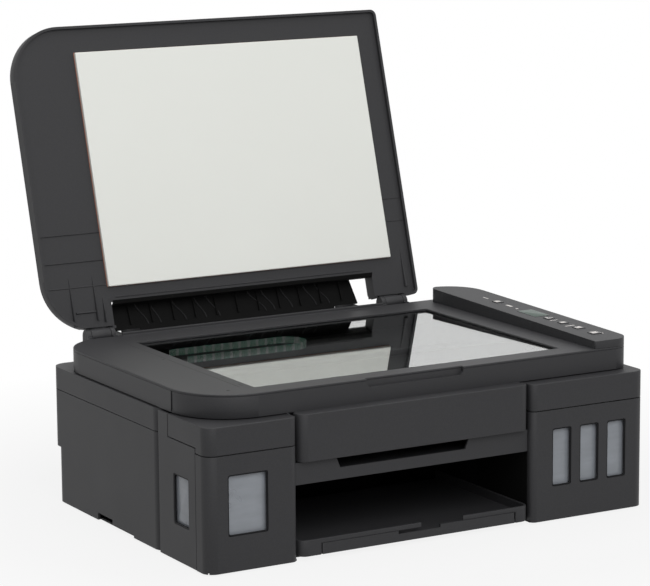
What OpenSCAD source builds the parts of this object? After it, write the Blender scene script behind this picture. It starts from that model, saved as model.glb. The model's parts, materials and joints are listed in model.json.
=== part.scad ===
/* [Case] */
// Overall width of the lower case
case_w = 438.5; // [430:0.5:460]
// Width of the ledge at the left of the scanner unit
ledge_w = 3; // [2:0.5:8]
// Depth of the lower case, from the tank fronts to its rear wall
case_d = 295; // [288:1:310]
// Height of the ledge that the scanner unit rests on
ledge_z = 124.5; // [118:0.5:132]
// Wall thickness of the plastic covers
wall = 2.4; // [1.6:0.1:3]
// Corner radius of the front of the case
front_r = 10; // [4:1:16]
// Corner radius of the rear of the case
rear_r = 14; // [6:1:24]
// Height of the rubber feet below the base
foot_h = 1.5; // [1:0.1:4]
// Diameter of a rubber foot
foot_dia = 14; // [8:1:20]
// Thickness of the base floor
floor_t = 1.8; // [1.5:0.1:3]
// Seam between two neighbouring covers
seam = 0.6; // [0.4:0.1:1.2]
// Clearance between parts that move past each other
clear = 0.4; // [0.3:0.05:0.6]

/* [Tank housings] */
// Depth of the tank housings at the front corners
tank_d = 86; // [80:1:100]
// Width of the left tank housing
left_tank_w = 85.5; // [80:0.5:95]
// Width of the right tank housing
right_tank_w = 120.5; // [116:0.5:130]
// Height of the seam under the tank covers, at the front
front_seam_z = 100; // [94:0.5:106]
// Height of the seam under the covers, along the sides
side_seam_z = 104.6; // [100:0.2:110]
// Place of the upright seam on the side, from the front
bezel_seam_y = 19; // [16:0.5:26]
// Where a tank cover ends on the side, from the front
cover_seam_y = 68; // [60:1:76]
// Lower edge of the tank windows
window_z = 31.5; // [26:0.5:40]
// Height of the tank windows
window_h = 52; // [40:0.5:58]
// Width of the black tank's front window
black_window_w = 37.5; // [28:0.5:44]
// Width of each colour tank's window
colour_window_w = 20; // [14:0.5:22]
// Spacing of the colour tanks
colour_pitch = 29; // [27:0.5:31]
// Width of the black tank's side window
side_window_w = 27; // [18:0.5:32]
// Wall of an ink tank
tank_wall = 1.6; // [1.2:0.1:2.4]
// Depth of an ink tank
ink_tank_d = 64; // [50:1:70]
// Diameter of a tank filler cap
cap_dia = 17; // [12:0.5:20]

/* [Output] */
// Height of the front panel's lower edge
panel_z = 85; // [80:0.5:90]
// Depth that the bezel under the front panel stands back
bezel_back = 6; // [4:0.5:10]
// Lower edge of the output opening's bezel
bezel_z = 65; // [60:0.5:70]
// Underside of the output tray
tray_z = 4.2; // [3.8:0.1:6]
// Height of the output tray's front lip
tray_h = 14; // [12:0.5:18]
// Depth of the output tray
tray_d = 150; // [120:1:170]
// Gap between the tray's right side and its extension
extension_inset = 15.4; // [10:0.2:24]

/* [Scanner unit] */
// Width of the scanner unit
scan_w = 430; // [415:1:440]
// Front of the scanner unit, from the tank fronts
scan_y = 14; // [10:0.5:20]
// Depth of the scanner unit
scan_d = 280; // [270:1:284]
// Gap between the ledge and the scanner unit
scan_gap = 1; // [0.6:0.1:2]
// Height of the scanner unit
scan_h = 20.1; // [18:0.1:26]
// Front left corner radius of the scanner unit
scan_left_r = 54; // [30:1:60]
// Rear left corner radius of the scanner unit
scan_rear_r = 47; // [30:1:60]
// Right corner radius of the scanner unit
scan_right_r = 16; // [10:1:24]
// Thickness of the frame round the glass
frame_t = 2; // [1.6:0.1:3]
// Length of the opening over the glass
glass_w = 305; // [297:1:310]
// Depth of the opening over the glass
glass_d = 221; // [216:1:224]
// Left edge of the opening, from the scanner's left side
glass_x = 62; // [56:0.5:66]
// Front edge of the opening, from the scanner's front
glass_y = 21.5; // [18:0.5:24]
// Thickness of the glass
glass_t = 3; // [2:0.1:4]
// Height of the rear rail above the frame
rail_h = 2.9; // [1:0.1:3.4]
// Width of the image sensor
sensor_w = 18; // [14:0.5:24]
// Travel of the image sensor
sensor_travel = 318; // [290:1:322]

/* [Operation panel] */
// Left side of the operation panel, from the scanner's right side
op_w = 38.5; // [34:0.5:42]
// Length of the operation panel
op_d = 276; // [250:1:278]
// Height of the operation panel at its front
op_front_h = 7; // [5:0.2:9]
// Height of the operation panel at its rear
op_rear_h = 13; // [9:0.2:14]
// Travel of a button
button_travel = 0.8; // [0.4:0.1:1.2]

/* [Lid] */
// Width of the lid
lid_w = 387.5; // [376:0.5:389]
// Thickness of the lid
lid_t = 16.8; // [14:0.2:20]
// Left corner radius of the lid
lid_left_r = 48; // [30:1:52]
// Right corner radius of the lid
lid_right_r = 6; // [4:1:10]
// Gap under the closed lid
lid_gap = 0.6; // [0.4:0.1:1]
// Angle of the opened lid
lid_angle = 106.5; // [95:0.5:108]
// Distance of the hinge axis behind the lid
hinge_back = 7; // [6:0.5:8]
// Distance of each hinge from the lid's middle
hinge_x = 155; // [145:1:165]
// Width of a hinge arm
hinge_w = 28; // [20:1:32]
// Depth of the notch between the hinges
notch_d = 25; // [20:0.5:28]
// Depth of the liner inside the lid's rim
liner_depth = 3.3; // [2:0.1:5]
// Width of the document pad
pad_w = 300; // [294:0.5:304]
// Depth of the document pad
pad_d = 217; // [210:0.5:220]
// Thickness of the document pad
pad_t = 3.5; // [2.5:0.1:3.6]

/* [Rear feed] */
// Overall depth of the printer with the support folded
total_d = 330; // [326:1:340]
// Height of the folded paper support above the closed lid
head_rise = 3.5; // [0:0.5:6]
// Lean of the rear tray from upright
lean = 25; // [24:1:32]
// Width of the rear tray between its cheeks
rear_w = 250; // [240:1:256]
// Width of the paper support
support_w = 206; // [160:1:210]
// Half the width between the opened paper guides
guide_open = 109; // [106:0.5:112]

/* [Mechanism] */
// Height of the paper path over the platen
path_z = 60; // [56:0.5:64]
// Radius of the main feed roller
feed_r = 6.5; // [5:0.5:8]
// Radius of the pinch rollers
pinch_r = 4; // [3:0.5:5]
// Radius of the star wheels
star_r = 5; // [4:0.5:6]
// Radius of the pick-up roller
pickup_r = 14; // [10:0.5:15]
// Radius of a roller shaft
shaft_r = 3; // [2:0.1:3.5]
// Running clearance of shafts and hinge pins in their bores
run = 0.05; // [0.02:0.01:0.1]
// Width of the carriage
carriage_w = 76; // [60:1:84]
// Radius of the belt pulleys
pulley_r = 6; // [5:0.5:8]
// Width of the belts
belt_w = 6; // [4:0.5:8]
// Thickness of the belts
belt_t = 1.2; // [0.8:0.1:1.6]

/* [Hidden] */
$fn = 48;
eps = 0.01;

// Places measured from the front of the tank housings; piece() moves them to the part's own frame
scan_off = 4.5;
scan_l = -scan_w / 2 - scan_off;
scan_r = scan_l + scan_w;
case_x0 = scan_l - ledge_w;
case_x1 = case_x0 + case_w;
left_x = case_x0 + left_tank_w;
right_x = case_x1 - right_tank_w;
path_w = right_x - left_x;
path_x = (left_x + right_x) / 2 + 0.15;
wheel_pitch = path_w / 7.75;
floor_z = foot_h + floor_t;
side_step = 1;
base_x0 = case_x0 + wall + side_step + clear;
base_x1 = case_x1 - wall - side_step - clear;
shoulder_z = 52;
shoulder = 7;
rear_wall_y = case_d + shoulder;
inner_r = 6;
scan_z = ledge_z + scan_gap;
scan_top = scan_z + scan_h;
scan_rear = scan_y + scan_d;
frame_z = scan_top - frame_t;
open_x0 = scan_l + glass_x;
open_x1 = open_x0 + glass_w;
open_y0 = scan_y + glass_y;
open_y1 = open_y0 + glass_d;
tilt_y = scan_rear + 16;
tilt_z = scan_z + 4.5;
tilt_r = 6;
lug_t = 6;
lid_z = scan_top + lid_gap;
lid_top = lid_z + lid_t;
lid_edge = 4;
lid_y = scan_y + 2;
lid_l = scan_l;
lid_r = scan_l + lid_w;
hinge_y = scan_rear + hinge_back;
hinge_z = lid_z;
lid_rear = hinge_y - 5;
lid_mid = (lid_l + lid_r) / 2;
notch_x0 = lid_mid - 129.25;
notch_x1 = lid_mid + 146.75;
knuckle_r = 6;
pin_r = 3;
lid_reach = hinge_y - (hinge_y - lid_y - lid_edge) * cos(lid_angle) + lid_t * sin(lid_angle);
y_front = -lid_reach / 2;
op_x0 = scan_r - op_w;
op_angle = atan((op_rear_h - op_front_h) / op_d);
op_mid = scan_r - 18.5;
rear_z = scan_top - 0.6;
rear_x0 = path_x - rear_w / 2;
rear_x1 = path_x + rear_w / 2;
cheek_t = 2;
tilt_x = cheek_t - rear_x0 + 28.4;
plate_t = 2.5;
support_t = 3;
slide_gap = 1;
support_y = plate_t + slide_gap;
support_rise = (lid_top + head_rise - rear_z + (support_y + support_t) * sin(lean)) / cos(lean);
rear_y = total_d - (support_y + support_t) * cos(lean) - support_rise * sin(lean);
flap_y = rear_y - 7.2;
flap_z = rear_z - 5;
flap_l = rear_y - flap_y - (rear_z - flap_z + 0.2) * tan(lean) - clear;
frame_x0 = left_x - wall;
frame_x1 = right_x;
roll_z = path_z - 0.5 - feed_r;
feed_y = 200;
eject_y = 108;
star_top = path_z + 2 * star_r + 1;
rod_y = 192;
rod_z = 84;
rod_r = 4;
web_y = 214;
belt_y = 204;
belt_z = 104;
chassis_x0 = case_x0 + 15.5;
chassis_x1 = case_x1 - 14.5;
chassis_top = 118;
sheet = 1.5;
pulley_x0 = chassis_x0 + 12;
pulley_x1 = chassis_x1 - 10;
park_x = right_x + 54.5;
pickup_s = 76;
pickup_y = rear_y - pickup_s * sin(lean) - (pickup_r + 1) * cos(lean);
pickup_z = rear_z - pickup_s * cos(lean) + (pickup_r + 1) * sin(lean);
black_x = case_x0 + 38.5;
colour_x = case_x1 - 59.7;
tank_z = floor_z + 3;
tank_h = 88;

casing = [0.23, 0.23, 0.24];
dark = [0.1, 0.1, 0.11];
steel = [0.7, 0.71, 0.73];
rubber = [0.12, 0.12, 0.12];
clear_plastic = [0.8, 0.83, 0.86, 0.6];
white = [0.87, 0.88, 0.86];

// Colours a piece and moves it from the printer's front edge to the part's frame
module piece(c) color(c) translate([-(case_x0 + case_x1) / 2, y_front, 0]) children();

// A box between two corners
module block(x0, x1, y0, y1, z0, z1) translate([x0, y0, z0]) cube([x1 - x0, y1 - y0, z1 - z0]);

// Extrudes an outline between two heights
module slab(z0, z1) translate([0, 0, z0]) linear_extrude(z1 - z0) children();

// What a rounded corner takes off; sx and sy point into the shape
module corner(x, y, sx, sy, r) if (r > 0)
    difference() {
        translate([x + (sx > 0 ? -1 : -r), y + (sy > 0 ? -1 : -r)]) square(r + 1);
        translate([x + sx * r, y + sy * r]) circle(r);
    }

// A rectangle with its own radius at each corner: front left, front right, rear right, rear left
module outline(x0, x1, y0, y1, fl = 0, fr = 0, rr = 0, rl = 0) difference() {
    translate([x0, y0]) square([x1 - x0, y1 - y0]);
    corner(x0, y0, 1, 1, fl);
    corner(x1, y0, -1, 1, fr);
    corner(x1, y1, -1, -1, rr);
    corner(x0, y1, 1, -1, rl);
}

// A shaft or roller along X
module xrod(x0, x1, y, z, r) translate([x0, y, z]) rotate([0, 90, 0]) cylinder(h = x1 - x0, r = r);

// A shaft or pulley along Y
module yrod(x, y0, y1, z, r) translate([x, y0, z]) rotate([-90, 0, 0]) cylinder(h = y1 - y0, r = r);

// Outline of the rear body behind the tank housings
module rear_outline(depth, inset = 0) outline(case_x0 + side_step + inset, case_x1 - side_step - inset,
    tank_d + seam + inset, depth - inset, front_r - inset, front_r - inset, rear_r - inset, rear_r - inset);

module rear_ring(z0, z1, depth) slab(z0, z1) difference() {
    rear_outline(depth);
    rear_outline(depth, wall);
}

// The side panels' wall, with its step out to the rear shoulder
module side_wall() difference() {
    union() {
        rear_ring(foot_h, shoulder_z, case_d);
        rear_ring(shoulder_z, side_seam_z - seam, rear_wall_y);
        slab(shoulder_z, shoulder_z + wall) intersection() {
            rear_outline(rear_wall_y);
            translate([case_x0, case_d - wall]) square([case_w, shoulder + wall]);
        }
    }
    block(base_x0 - clear / 2, base_x1 + clear / 2, tank_d, tank_d + 12, 0, floor_z + clear);
}

// Outline of a tank housing between two x
module housing_outline(x0, x1, rl, rr, inset = 0, open = 0)
    outline(x0 + inset, x1 - inset, inset, tank_d + open, rl - inset, rr - inset, 0, 0);

module rounded_slot(x, y, w, h, r = 2) translate([x, y]) outline(0, w, 0, h, r, r, r, r);

// Cuts a window of width w centred at x through the front wall
module front_window(x, w) translate([0, wall + 1, 0]) rotate([90, 0, 0])
    linear_extrude(wall + 2) rounded_slot(x - w / 2, window_z, w, window_h);

module base_tray() piece(dark) difference() {
    union() {
        slab(foot_h, floor_z) difference() {
            outline(base_x0, base_x1, wall + clear,
                case_d - wall - clear, 8, 8, 11, 11);
            translate([left_x - clear, 0]) square([right_x - left_x + 2 * clear, 12]);
        }
        for (x = [frame_x0, frame_x1]) {
            block(x, x + wall, tank_d + seam, 226, floor_z, path_z - 1.5);
            block(x, x + wall, 226, pickup_y + 12, floor_z, pickup_z + 8);
        }
    }
    xrod(frame_x0 - 1, frame_x1 + wall + 1, feed_y, roll_z, shaft_r + run);
    xrod(frame_x0 - 1, frame_x1 + wall + 1, eject_y, roll_z, shaft_r + run);
    xrod(frame_x0 - 1, frame_x1 + wall + 1, pickup_y, pickup_z, shaft_r + run);
}

module rubber_feet() piece(rubber)
    for (x = [case_x0 + 24, case_x1 - 24], y = [22, case_d - 24])
        translate([x, y, 0]) cylinder(h = foot_h, d = foot_dia);

// Opening in a rear wall for a socket
inlet_x = case_x0 + 38.5;
inlet_w = 26;
inlet_h = 20;
inlet_z = 18;
usb_x = case_x1 - 38;
usb_w = 13;
usb_h = 12;
usb_z = 25;

module left_side_panel() piece(casing) difference() {
    intersection() {
        side_wall();
        union() {
            block(case_x0, case_x0 + 16, tank_d, case_d - 16, 0, ledge_z);
            block(case_x0, rear_x0 - cheek_t - seam, case_d - 20, total_d, 0, ledge_z);
        }
    }
    block(case_x0 - 1, case_x0 + 8, 180, 209, 0, 8);
    block(case_x0 - 1, case_x0 + 8, 138, 180 + eps, 0, 4);
    block(inlet_x - inlet_w / 2, inlet_x + inlet_w / 2, case_d - 8, case_d + 1, inlet_z, inlet_z + inlet_h);
}

module right_side_panel() piece(casing) difference() {
    intersection() {
        side_wall();
        union() {
            block(case_x1 - 16, case_x1, tank_d, case_d - 16, 0, ledge_z);
            block(rear_x1 + cheek_t + seam, case_x1, case_d - 20, total_d, 0, ledge_z);
        }
    }
    block(case_x1 - 8, case_x1 + 1, 180, 209, 0, 8);
    block(case_x1 - 8, case_x1 + 1, 138, 180 + eps, 0, 4);
    block(usb_x - usb_w / 2, usb_x + usb_w / 2, case_d - 8, case_d + 1, usb_z, usb_z + usb_h);
}

// Bump at the back that holds the folded paper support
module rear_cover() piece(casing) difference() {
    union() {
        block(rear_x0 - cheek_t, rear_x1 + cheek_t, case_d - wall, case_d, foot_h, shoulder_z);
        block(rear_x0 - cheek_t, rear_x1 + cheek_t, case_d - wall, total_d, shoulder_z, shoulder_z + wall);
        block(rear_x0 - cheek_t, rear_x1 + cheek_t, total_d - wall, total_d, shoulder_z, rear_z - 6);
        for (x = [rear_x0 - cheek_t, rear_x1])
            block(x, x + cheek_t, flap_y - 3, total_d, shoulder_z, rear_z - 1);
    }
    translate([rear_x0 - cheek_t - 1, total_d, shoulder_z]) rotate([0, 90, 0])
        linear_extrude(rear_w + 2 * cheek_t + 2)
        corner(0, 0, -1, -1, 7);
    xrod(rear_x0 - cheek_t - 1, rear_x1 + cheek_t + 1, flap_y, flap_z, 1.2 + run);
}

// Upper ring of the case with the ledge; open over the carriage and at the rear feed slot
module top_cover() piece(casing) difference() {
    union() {
        rear_ring(side_seam_z, ledge_z, rear_wall_y);
        slab(ledge_z - wall, ledge_z) rear_outline(rear_wall_y);
        for (x = [-tilt_x, tilt_x]) {
            block(x - lug_t / 2, x + lug_t / 2, rear_wall_y - eps, tilt_y + tilt_r, tilt_z - 16, tilt_z);
            xrod(x - lug_t / 2, x + lug_t / 2, tilt_y, tilt_z, tilt_r);
        }
    }
    block(case_x0 + 36.5, case_x1 - 30, 100, 270, ledge_z - wall - 1, ledge_z + 1);
    block(rear_x0 - cheek_t - seam, rear_x1 + cheek_t + seam, 269, total_d, side_seam_z - 1, ledge_z + 1);
    block(left_x, right_x, tank_d - 1, 101, ledge_z - wall - 1, ledge_z + 1);
    block(left_x, right_x, tank_d - 1, tank_d + 20, side_seam_z - 1, ledge_z + 1);
    for (x = [-tilt_x, tilt_x])
        xrod(x - lug_t, x + lug_t, tilt_y, tilt_z, pin_r + run);
}

// Walls of a housing below its cover; side_x is its outer side
module bezel_ring(x0, x1, rl, rr, z1) slab(foot_h, z1) difference() {
    housing_outline(x0, x1, rl, rr);
    housing_outline(x0, x1, rl, rr, wall, 10);
}

module left_front_bezel() piece(casing) difference() {
    bezel_ring(case_x0, left_x, front_r, inner_r, front_seam_z);
    block(case_x0 - 1, case_x0 + wall + 1, bezel_seam_y, tank_d + 11, 0, ledge_z);
    block(case_x0 + wall, left_x + 1, wall + clear - eps, tank_d + 11, 0, floor_z);
    front_window(black_x, black_window_w);
}

module left_side_bezel() piece(casing) difference() {
    union() {
        block(case_x0, case_x0 + wall, bezel_seam_y + seam, tank_d, foot_h, side_seam_z);
        block(case_x0, case_x0 + wall, cover_seam_y + seam, tank_d, side_seam_z - eps, ledge_z);
    }
    translate([case_x0 - 1, 0, 0]) rotate([90, 0, 90]) linear_extrude(wall + 2)
        rounded_slot(32, window_z + 1.5, side_window_w, window_h - 9);
}

// Cover over a tank housing, stepped up where it meets the side
module tank_cover(x0, x1, rl, rr, side_x0, side_x1) difference() {
    slab(front_seam_z + seam, ledge_z) housing_outline(x0, x1, rl, rr);
    slab(front_seam_z, ledge_z - wall) housing_outline(x0, x1, rl, rr, wall, 10);
    block(side_x0, side_x1, bezel_seam_y, tank_d + 1, front_seam_z, side_seam_z + seam);
    block(x0 - 1, x1 + 1, cover_seam_y, tank_d + 1, front_seam_z, ledge_z + 1);
}

module left_tank_cover() piece(casing)
    tank_cover(case_x0, left_x, front_r, inner_r, case_x0 - 1, case_x0 + wall + 1);

module right_tank_bezel() piece(casing) difference() {
    union() {
        bezel_ring(right_x, case_x1, inner_r, front_r, front_seam_z);
        block(case_x1 - wall, case_x1, bezel_seam_y + seam, tank_d, foot_h, side_seam_z);
        block(case_x1 - wall, case_x1, cover_seam_y + seam, tank_d, side_seam_z - eps, ledge_z);
    }
    block(right_x - 1, case_x1 - wall, wall + clear - eps, tank_d + 11, 0, floor_z);
    for (i = [-1, 0, 1]) front_window(colour_x + i * colour_pitch, colour_window_w);
}

module right_tank_cover() piece(casing)
    tank_cover(right_x, case_x1, inner_r, front_r, case_x1 - wall - 1, case_x1 + 1);

notch_w = 132;
notch_h = 9;

// Fixed strip under the front panel, with its finger notch and the ceiling of the output opening
module output_bezel() piece(casing) difference() {
    union() {
        block(left_x + clear, right_x - clear, bezel_back, bezel_back + wall, bezel_z, panel_z - 1);
        block(left_x + clear, right_x - clear, bezel_back + wall - eps, eject_y + 10, star_top, star_top + 2);
        for (x = [left_x + 6, right_x - 8])
            block(x, x + 2, eject_y - 4, eject_y + 4, path_z + 1, star_top + eps);
    }
    translate([path_x - 10.4, bezel_back + wall + 1, panel_z - 1]) rotate([90, 0, 0])
        linear_extrude(wall + 2)
        polygon([[-notch_w / 2, 1], [-notch_w / 2 + 4, -notch_h],
            [notch_w / 2 - 4, -notch_h], [notch_w / 2, 1]]);
    xrod(left_x, right_x, eject_y, path_z + star_r + 0.4, 1 + run);
}

// A hollow ink tank with its filler neck
module ink_tank(x, w) {
    y0 = wall + 2.2;
    difference() {
        union() {
            block(x - w / 2, x + w / 2, y0, y0 + ink_tank_d, tank_z, tank_z + tank_h);
            translate([x, y0 + 40, tank_z + tank_h - eps]) cylinder(h = 5, r = cap_dia / 2 - 3);
        }
        block(x - w / 2 + tank_wall, x + w / 2 - tank_wall, y0 + tank_wall, y0 + ink_tank_d - tank_wall,
            tank_z + tank_wall, tank_z + tank_h - tank_wall);
        translate([x, y0 + 40, tank_z + tank_h - 4]) cylinder(h = 12, r = cap_dia / 2 - 5);
    }
}

black_tank_w = 68;
colour_tank_w = 26;
tank_x = [black_x + 4, colour_x - colour_pitch, colour_x, colour_x + colour_pitch];

module black_ink_tank() piece(clear_plastic) ink_tank(tank_x[0], black_tank_w);
module cyan_ink_tank() piece(clear_plastic) ink_tank(tank_x[1], colour_tank_w);
module magenta_ink_tank() piece(clear_plastic) ink_tank(tank_x[2], colour_tank_w);
module yellow_ink_tank() piece(clear_plastic) ink_tank(tank_x[3], colour_tank_w);

// Rubber stoppers on the tanks' necks
module tank_caps() piece(rubber) for (x = tank_x)
    translate([x, wall + 42.2, tank_z + tank_h + 5]) {
        cylinder(h = 6, r = cap_dia / 2);
        translate([0, 0, -4]) cylinder(h = 4 + eps, r = cap_dia / 2 - 5.1);
    }

tube_r = 1.5;
tube_back = wall + 2.2 + ink_tank_d;

// Ink tubes from the tanks to the clamp on the chassis
module ink_tubes() piece(dark) for (i = [0:3]) {
    x = tank_x[i];
    z = tank_z + 6;
    y1 = 94 + 6 * i;
    yrod(x, tube_back, y1, z, tube_r);
    translate([x, y1, z]) sphere(tube_r);
    translate([x, y1, z]) cylinder(h = 6, r = tube_r);
}

// A flat band round two pulleys on the same height; axis along X, flat ends at y0 and y1
module band(x0, x1, y0, y1, z, r) translate([x0, 0, 0]) rotate([90, 0, 90]) linear_extrude(x1 - x0) {
    translate([y0, z]) circle(r);
    translate([y1, z]) circle(r);
    translate([y0, z - r]) square([y1 - y0, 2 * r]);
}

pinch_z = path_z + 0.4 + pinch_r;
pinch_axle = 1.5;
star_z = path_z + 0.4 + star_r;
tab_x = [frame_x0 + wall + 1, frame_x1 - 2.5];
pinion_r = 5.2;
wheel_r = 14;
motor_r = 14;
feed_motor_z = roll_z - wheel_r - pinion_r - 0.3;

// Sheet steel chassis with the round rod that carries the print carriage
module chassis() piece(steel) difference() {
    union() {
        block(chassis_x0, chassis_x1 + sheet, web_y, web_y + sheet, 72, chassis_top);
        block(chassis_x0, chassis_x1 + sheet, rod_y + 5, web_y + sheet, chassis_top - sheet, chassis_top);
        for (x = [chassis_x0, chassis_x1])
            block(x, x + sheet, rod_y - 6, web_y + sheet, floor_z, chassis_top);
        for (x = tab_x)
            block(x, x + sheet, feed_y - 4, web_y + sheet, path_z + 1, 74);
        xrod(chassis_x0 + eps, chassis_x1 + sheet - eps, rod_y, rod_z, rod_r);
    }
    xrod(frame_x0, frame_x1, feed_y, pinch_z, pinch_axle + run);
    for (x = [pulley_x0, pulley_x1])
        yrod(x, web_y - 1, web_y + sheet + 1, belt_z, 2 + run);
}

// Toothed belt that pulls the carriage
module carriage_belt() piece(rubber) translate([0, belt_y - belt_w / 2, 0]) rotate([90, 0, 0])
    translate([0, 0, -belt_w]) linear_extrude(belt_w) difference() {
        union() {
            for (x = [pulley_x0, pulley_x1]) translate([x, belt_z]) circle(pulley_r + run + belt_t);
            translate([pulley_x0, belt_z - pulley_r - run - belt_t])
                square([pulley_x1 - pulley_x0, 2 * (pulley_r + run + belt_t)]);
        }
        for (x = [pulley_x0, pulley_x1]) translate([x, belt_z]) circle(pulley_r + run);
        translate([pulley_x0, belt_z - pulley_r - run])
            square([pulley_x1 - pulley_x0, 2 * (pulley_r + run)]);
    }

// Carriage motor behind the chassis and feed motor outside the paper path
module drive_motors() piece(dark) {
    difference() {
        yrod(pulley_x1, web_y + sheet, web_y + sheet + 28, belt_z, motor_r);
        yrod(pulley_x1, web_y, web_y + 14, belt_z, 2 + run);
    }
    xrod(frame_x0 - 40, frame_x0 - 11, feed_y, feed_motor_z, motor_r);
    block(frame_x0 - 34, frame_x0 - 16, feed_y - 10, feed_y + 10, floor_z, feed_motor_z - motor_r + 3);
    xrod(frame_x0 - 11 - eps, frame_x0 - 5.5, feed_y, feed_motor_z, pinion_r);
}

// Pulley on its shaft; the motor turns the drive pulley
module belt_pulley(x, shaft_end) piece(steel) {
    yrod(x, belt_y - belt_w / 2, belt_y + belt_w / 2, belt_z, pulley_r);
    yrod(x, belt_y + belt_w / 2 - eps, shaft_end, belt_z, 2);
    translate([x - 1, 0, belt_z + pulley_r - 2.4])
        translate([0, belt_y - belt_w / 2 - 0.8, 0]) cube([2, 1, 2]);
}

module drive_pulley() belt_pulley(pulley_x1, web_y + 12);
module idler_pulley() belt_pulley(pulley_x0, web_y + sheet + 3);

carriage_y0 = 128;
carriage_y1 = 188;
carriage_z0 = path_z + 1.5;
carriage_z1 = 112;

// Print carriage: holds the print heads, rides on the rod, grips the belt
module carriage() piece(dark) difference() {
    union() {
        block(park_x - carriage_w / 2, park_x + carriage_w / 2, carriage_y0, carriage_y1,
            carriage_z0, carriage_z1);
        block(park_x - carriage_w / 2 + 6, park_x + carriage_w / 2 - 6, carriage_y1 - eps, rod_y + 7,
            rod_z - 8, rod_z + 8);
        block(park_x - 10, park_x + 10, rod_y + 5, rod_y + 7, rod_z, chassis_top - sheet - clear);
        block(park_x - 8, park_x + 8, rod_y + 5, belt_y + belt_w / 2 + 2, belt_z - 10, belt_z - 4);
    }
    block(park_x - carriage_w / 2 + 2, park_x + carriage_w / 2 - 2, carriage_y0 + 2, carriage_y1 - 2,
        carriage_z0 + 6, carriage_z1 + 1);
    for (s = [-1, 1])
        translate([park_x + s * 18, 150, carriage_z0 - 1]) translate([-14, -16, 0]) cube([28, 32, 10]);
    xrod(park_x - carriage_w, park_x + carriage_w, rod_y, rod_z, rod_r + run);
    block(park_x - 9, park_x + 9, belt_y - belt_w / 2 - clear, belt_y + belt_w / 2 + clear,
        belt_z - pulley_r - belt_t - 0.5, belt_z - pulley_r + 0.4);
}

// Two print heads held in the carriage, nozzles down
module print_heads() piece(dark) for (s = [-1, 1]) translate([park_x + s * 18, 150, 0]) {
    translate([-13.9, -15.9, carriage_z0 - 0.6]) cube([27.8, 31.8, 9]);
    translate([-16, -18, carriage_z0 + 6]) cube([32, 50, 34]);
}

// Ribbed plate that holds the paper flat below the heads
module platen() piece(dark) {
    block(frame_x0 + wall + 0.2, frame_x1 - 0.2, eject_y + 10, feed_y - 10, path_z - 12, path_z - 4);
    for (i = [-7:7])
        translate([path_x + i * wheel_pitch / 2, eject_y + 12, path_z - 4 - eps])
            cube([1.6, feed_y - eject_y - 24, 3]);
}

// A shaft with roller sleeves at the given places
module roller(y, z, r, shaft, x0, x1, places, w) {
    xrod(x0, x1, y, z, shaft);
    for (x = places) xrod(x - w / 2, x + w / 2, y, z, r);
}

pulley_r2 = 6;

module feed_roller() piece(steel) {
    roller(feed_y, roll_z, feed_r, shaft_r, frame_x0 - 10, frame_x1 + wall + 3,
        [path_x], right_x - left_x - 12);
    xrod(frame_x0 - 9.5, frame_x0 - 5.5, feed_y, roll_z, wheel_r);
    xrod(frame_x0 - 4.5, frame_x0 - 1, feed_y, roll_z, pulley_r2);
}

module eject_roller() piece(steel) {
    roller(eject_y, roll_z, feed_r, shaft_r, frame_x0 - 6, frame_x1 + wall + 3,
        [for (i = [-3:3]) path_x + i * wheel_pitch], 12);
    xrod(frame_x0 - 4.5, frame_x0 - 1, eject_y, roll_z, pulley_r2);
}

// Belt from the feed roller to the eject roller
module feed_belt() piece(rubber) difference() {
    band(frame_x0 - 4.3, frame_x0 - 1.2, eject_y, feed_y, roll_z, pulley_r2 + run + belt_t);
    band(frame_x0 - 5, frame_x0, eject_y, feed_y, roll_z, pulley_r2 + run);
}

module pinch_rollers() piece(dark)
    roller(feed_y, pinch_z, pinch_r, pinch_axle, tab_x[0] - 1, tab_x[1] + sheet + 1,
        [for (i = [-1:1]) path_x + i * wheel_pitch * 7 / 3], wheel_pitch * 4 / 3);

// Thin wheels that hold the wet paper down on the eject roller
module star_wheels() piece(steel)
    roller(eject_y, star_z, star_r, 1, left_x + 4, right_x - 4,
        [for (i = [-3:3]) path_x + i * wheel_pitch], 1);

module pickup_roller() piece(rubber)
    roller(pickup_y, pickup_z, pickup_r, shaft_r, frame_x0 - 1, frame_x1 + wall + 1,
        [path_x - 18, path_x + 18], 16);

// Frame of the sloping rear feed: z runs up the slope, y points out of its back
module leaning() translate([0, rear_y, rear_z]) rotate([-lean, 0, 0]) children();

plate_l = 92;
function lean_point(y, z) = [rear_y + z * sin(lean) + y * cos(lean), rear_z + z * cos(lean) - y * sin(lean)];
narrow_z = -58;
rail_w = 3;
head_z = 2;
head_slope = 4;
head_over = 4;
rib_h = support_rise - head_z - 6;
rib_pitch = 22.4;

// Fixed back plate of the rear feed, its rails and the lower paper guide
module rear_tray() piece(dark) {
    leaning() {
        block(rear_x0 + 0.5, rear_x1 - 0.5, 0, plate_t, narrow_z, -1);
        block(path_x - path_w / 2 + 1.25, path_x + path_w / 2 - 1.25, 0, plate_t, -plate_l, narrow_z + eps);
        for (s = [-1, 1]) translate([path_x + s * (support_w / 2 + clear + rail_w / 2), 0, 0]) {
            block(-rail_w / 2, rail_w / 2, plate_t - eps, support_y + support_t + 3, narrow_z, -6);
            block(-rail_w / 2 - (s > 0 ? 4 : 0), rail_w / 2 + (s > 0 ? 0 : 4), support_y + support_t + clear,
                support_y + support_t + 3, narrow_z, -6);
        }
    }
    translate([path_x - path_w / 2 + 2.25, 0, 0]) rotate([90, 0, 90]) linear_extrude(path_w - 4.5) polygon([
        lean_point(plate_t / 2, -plate_l + 4),
        lean_point(plate_t / 2, -plate_l + 0.6),
        [212, path_z - 5],
        [212, path_z - 2.5]]);
}

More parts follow.
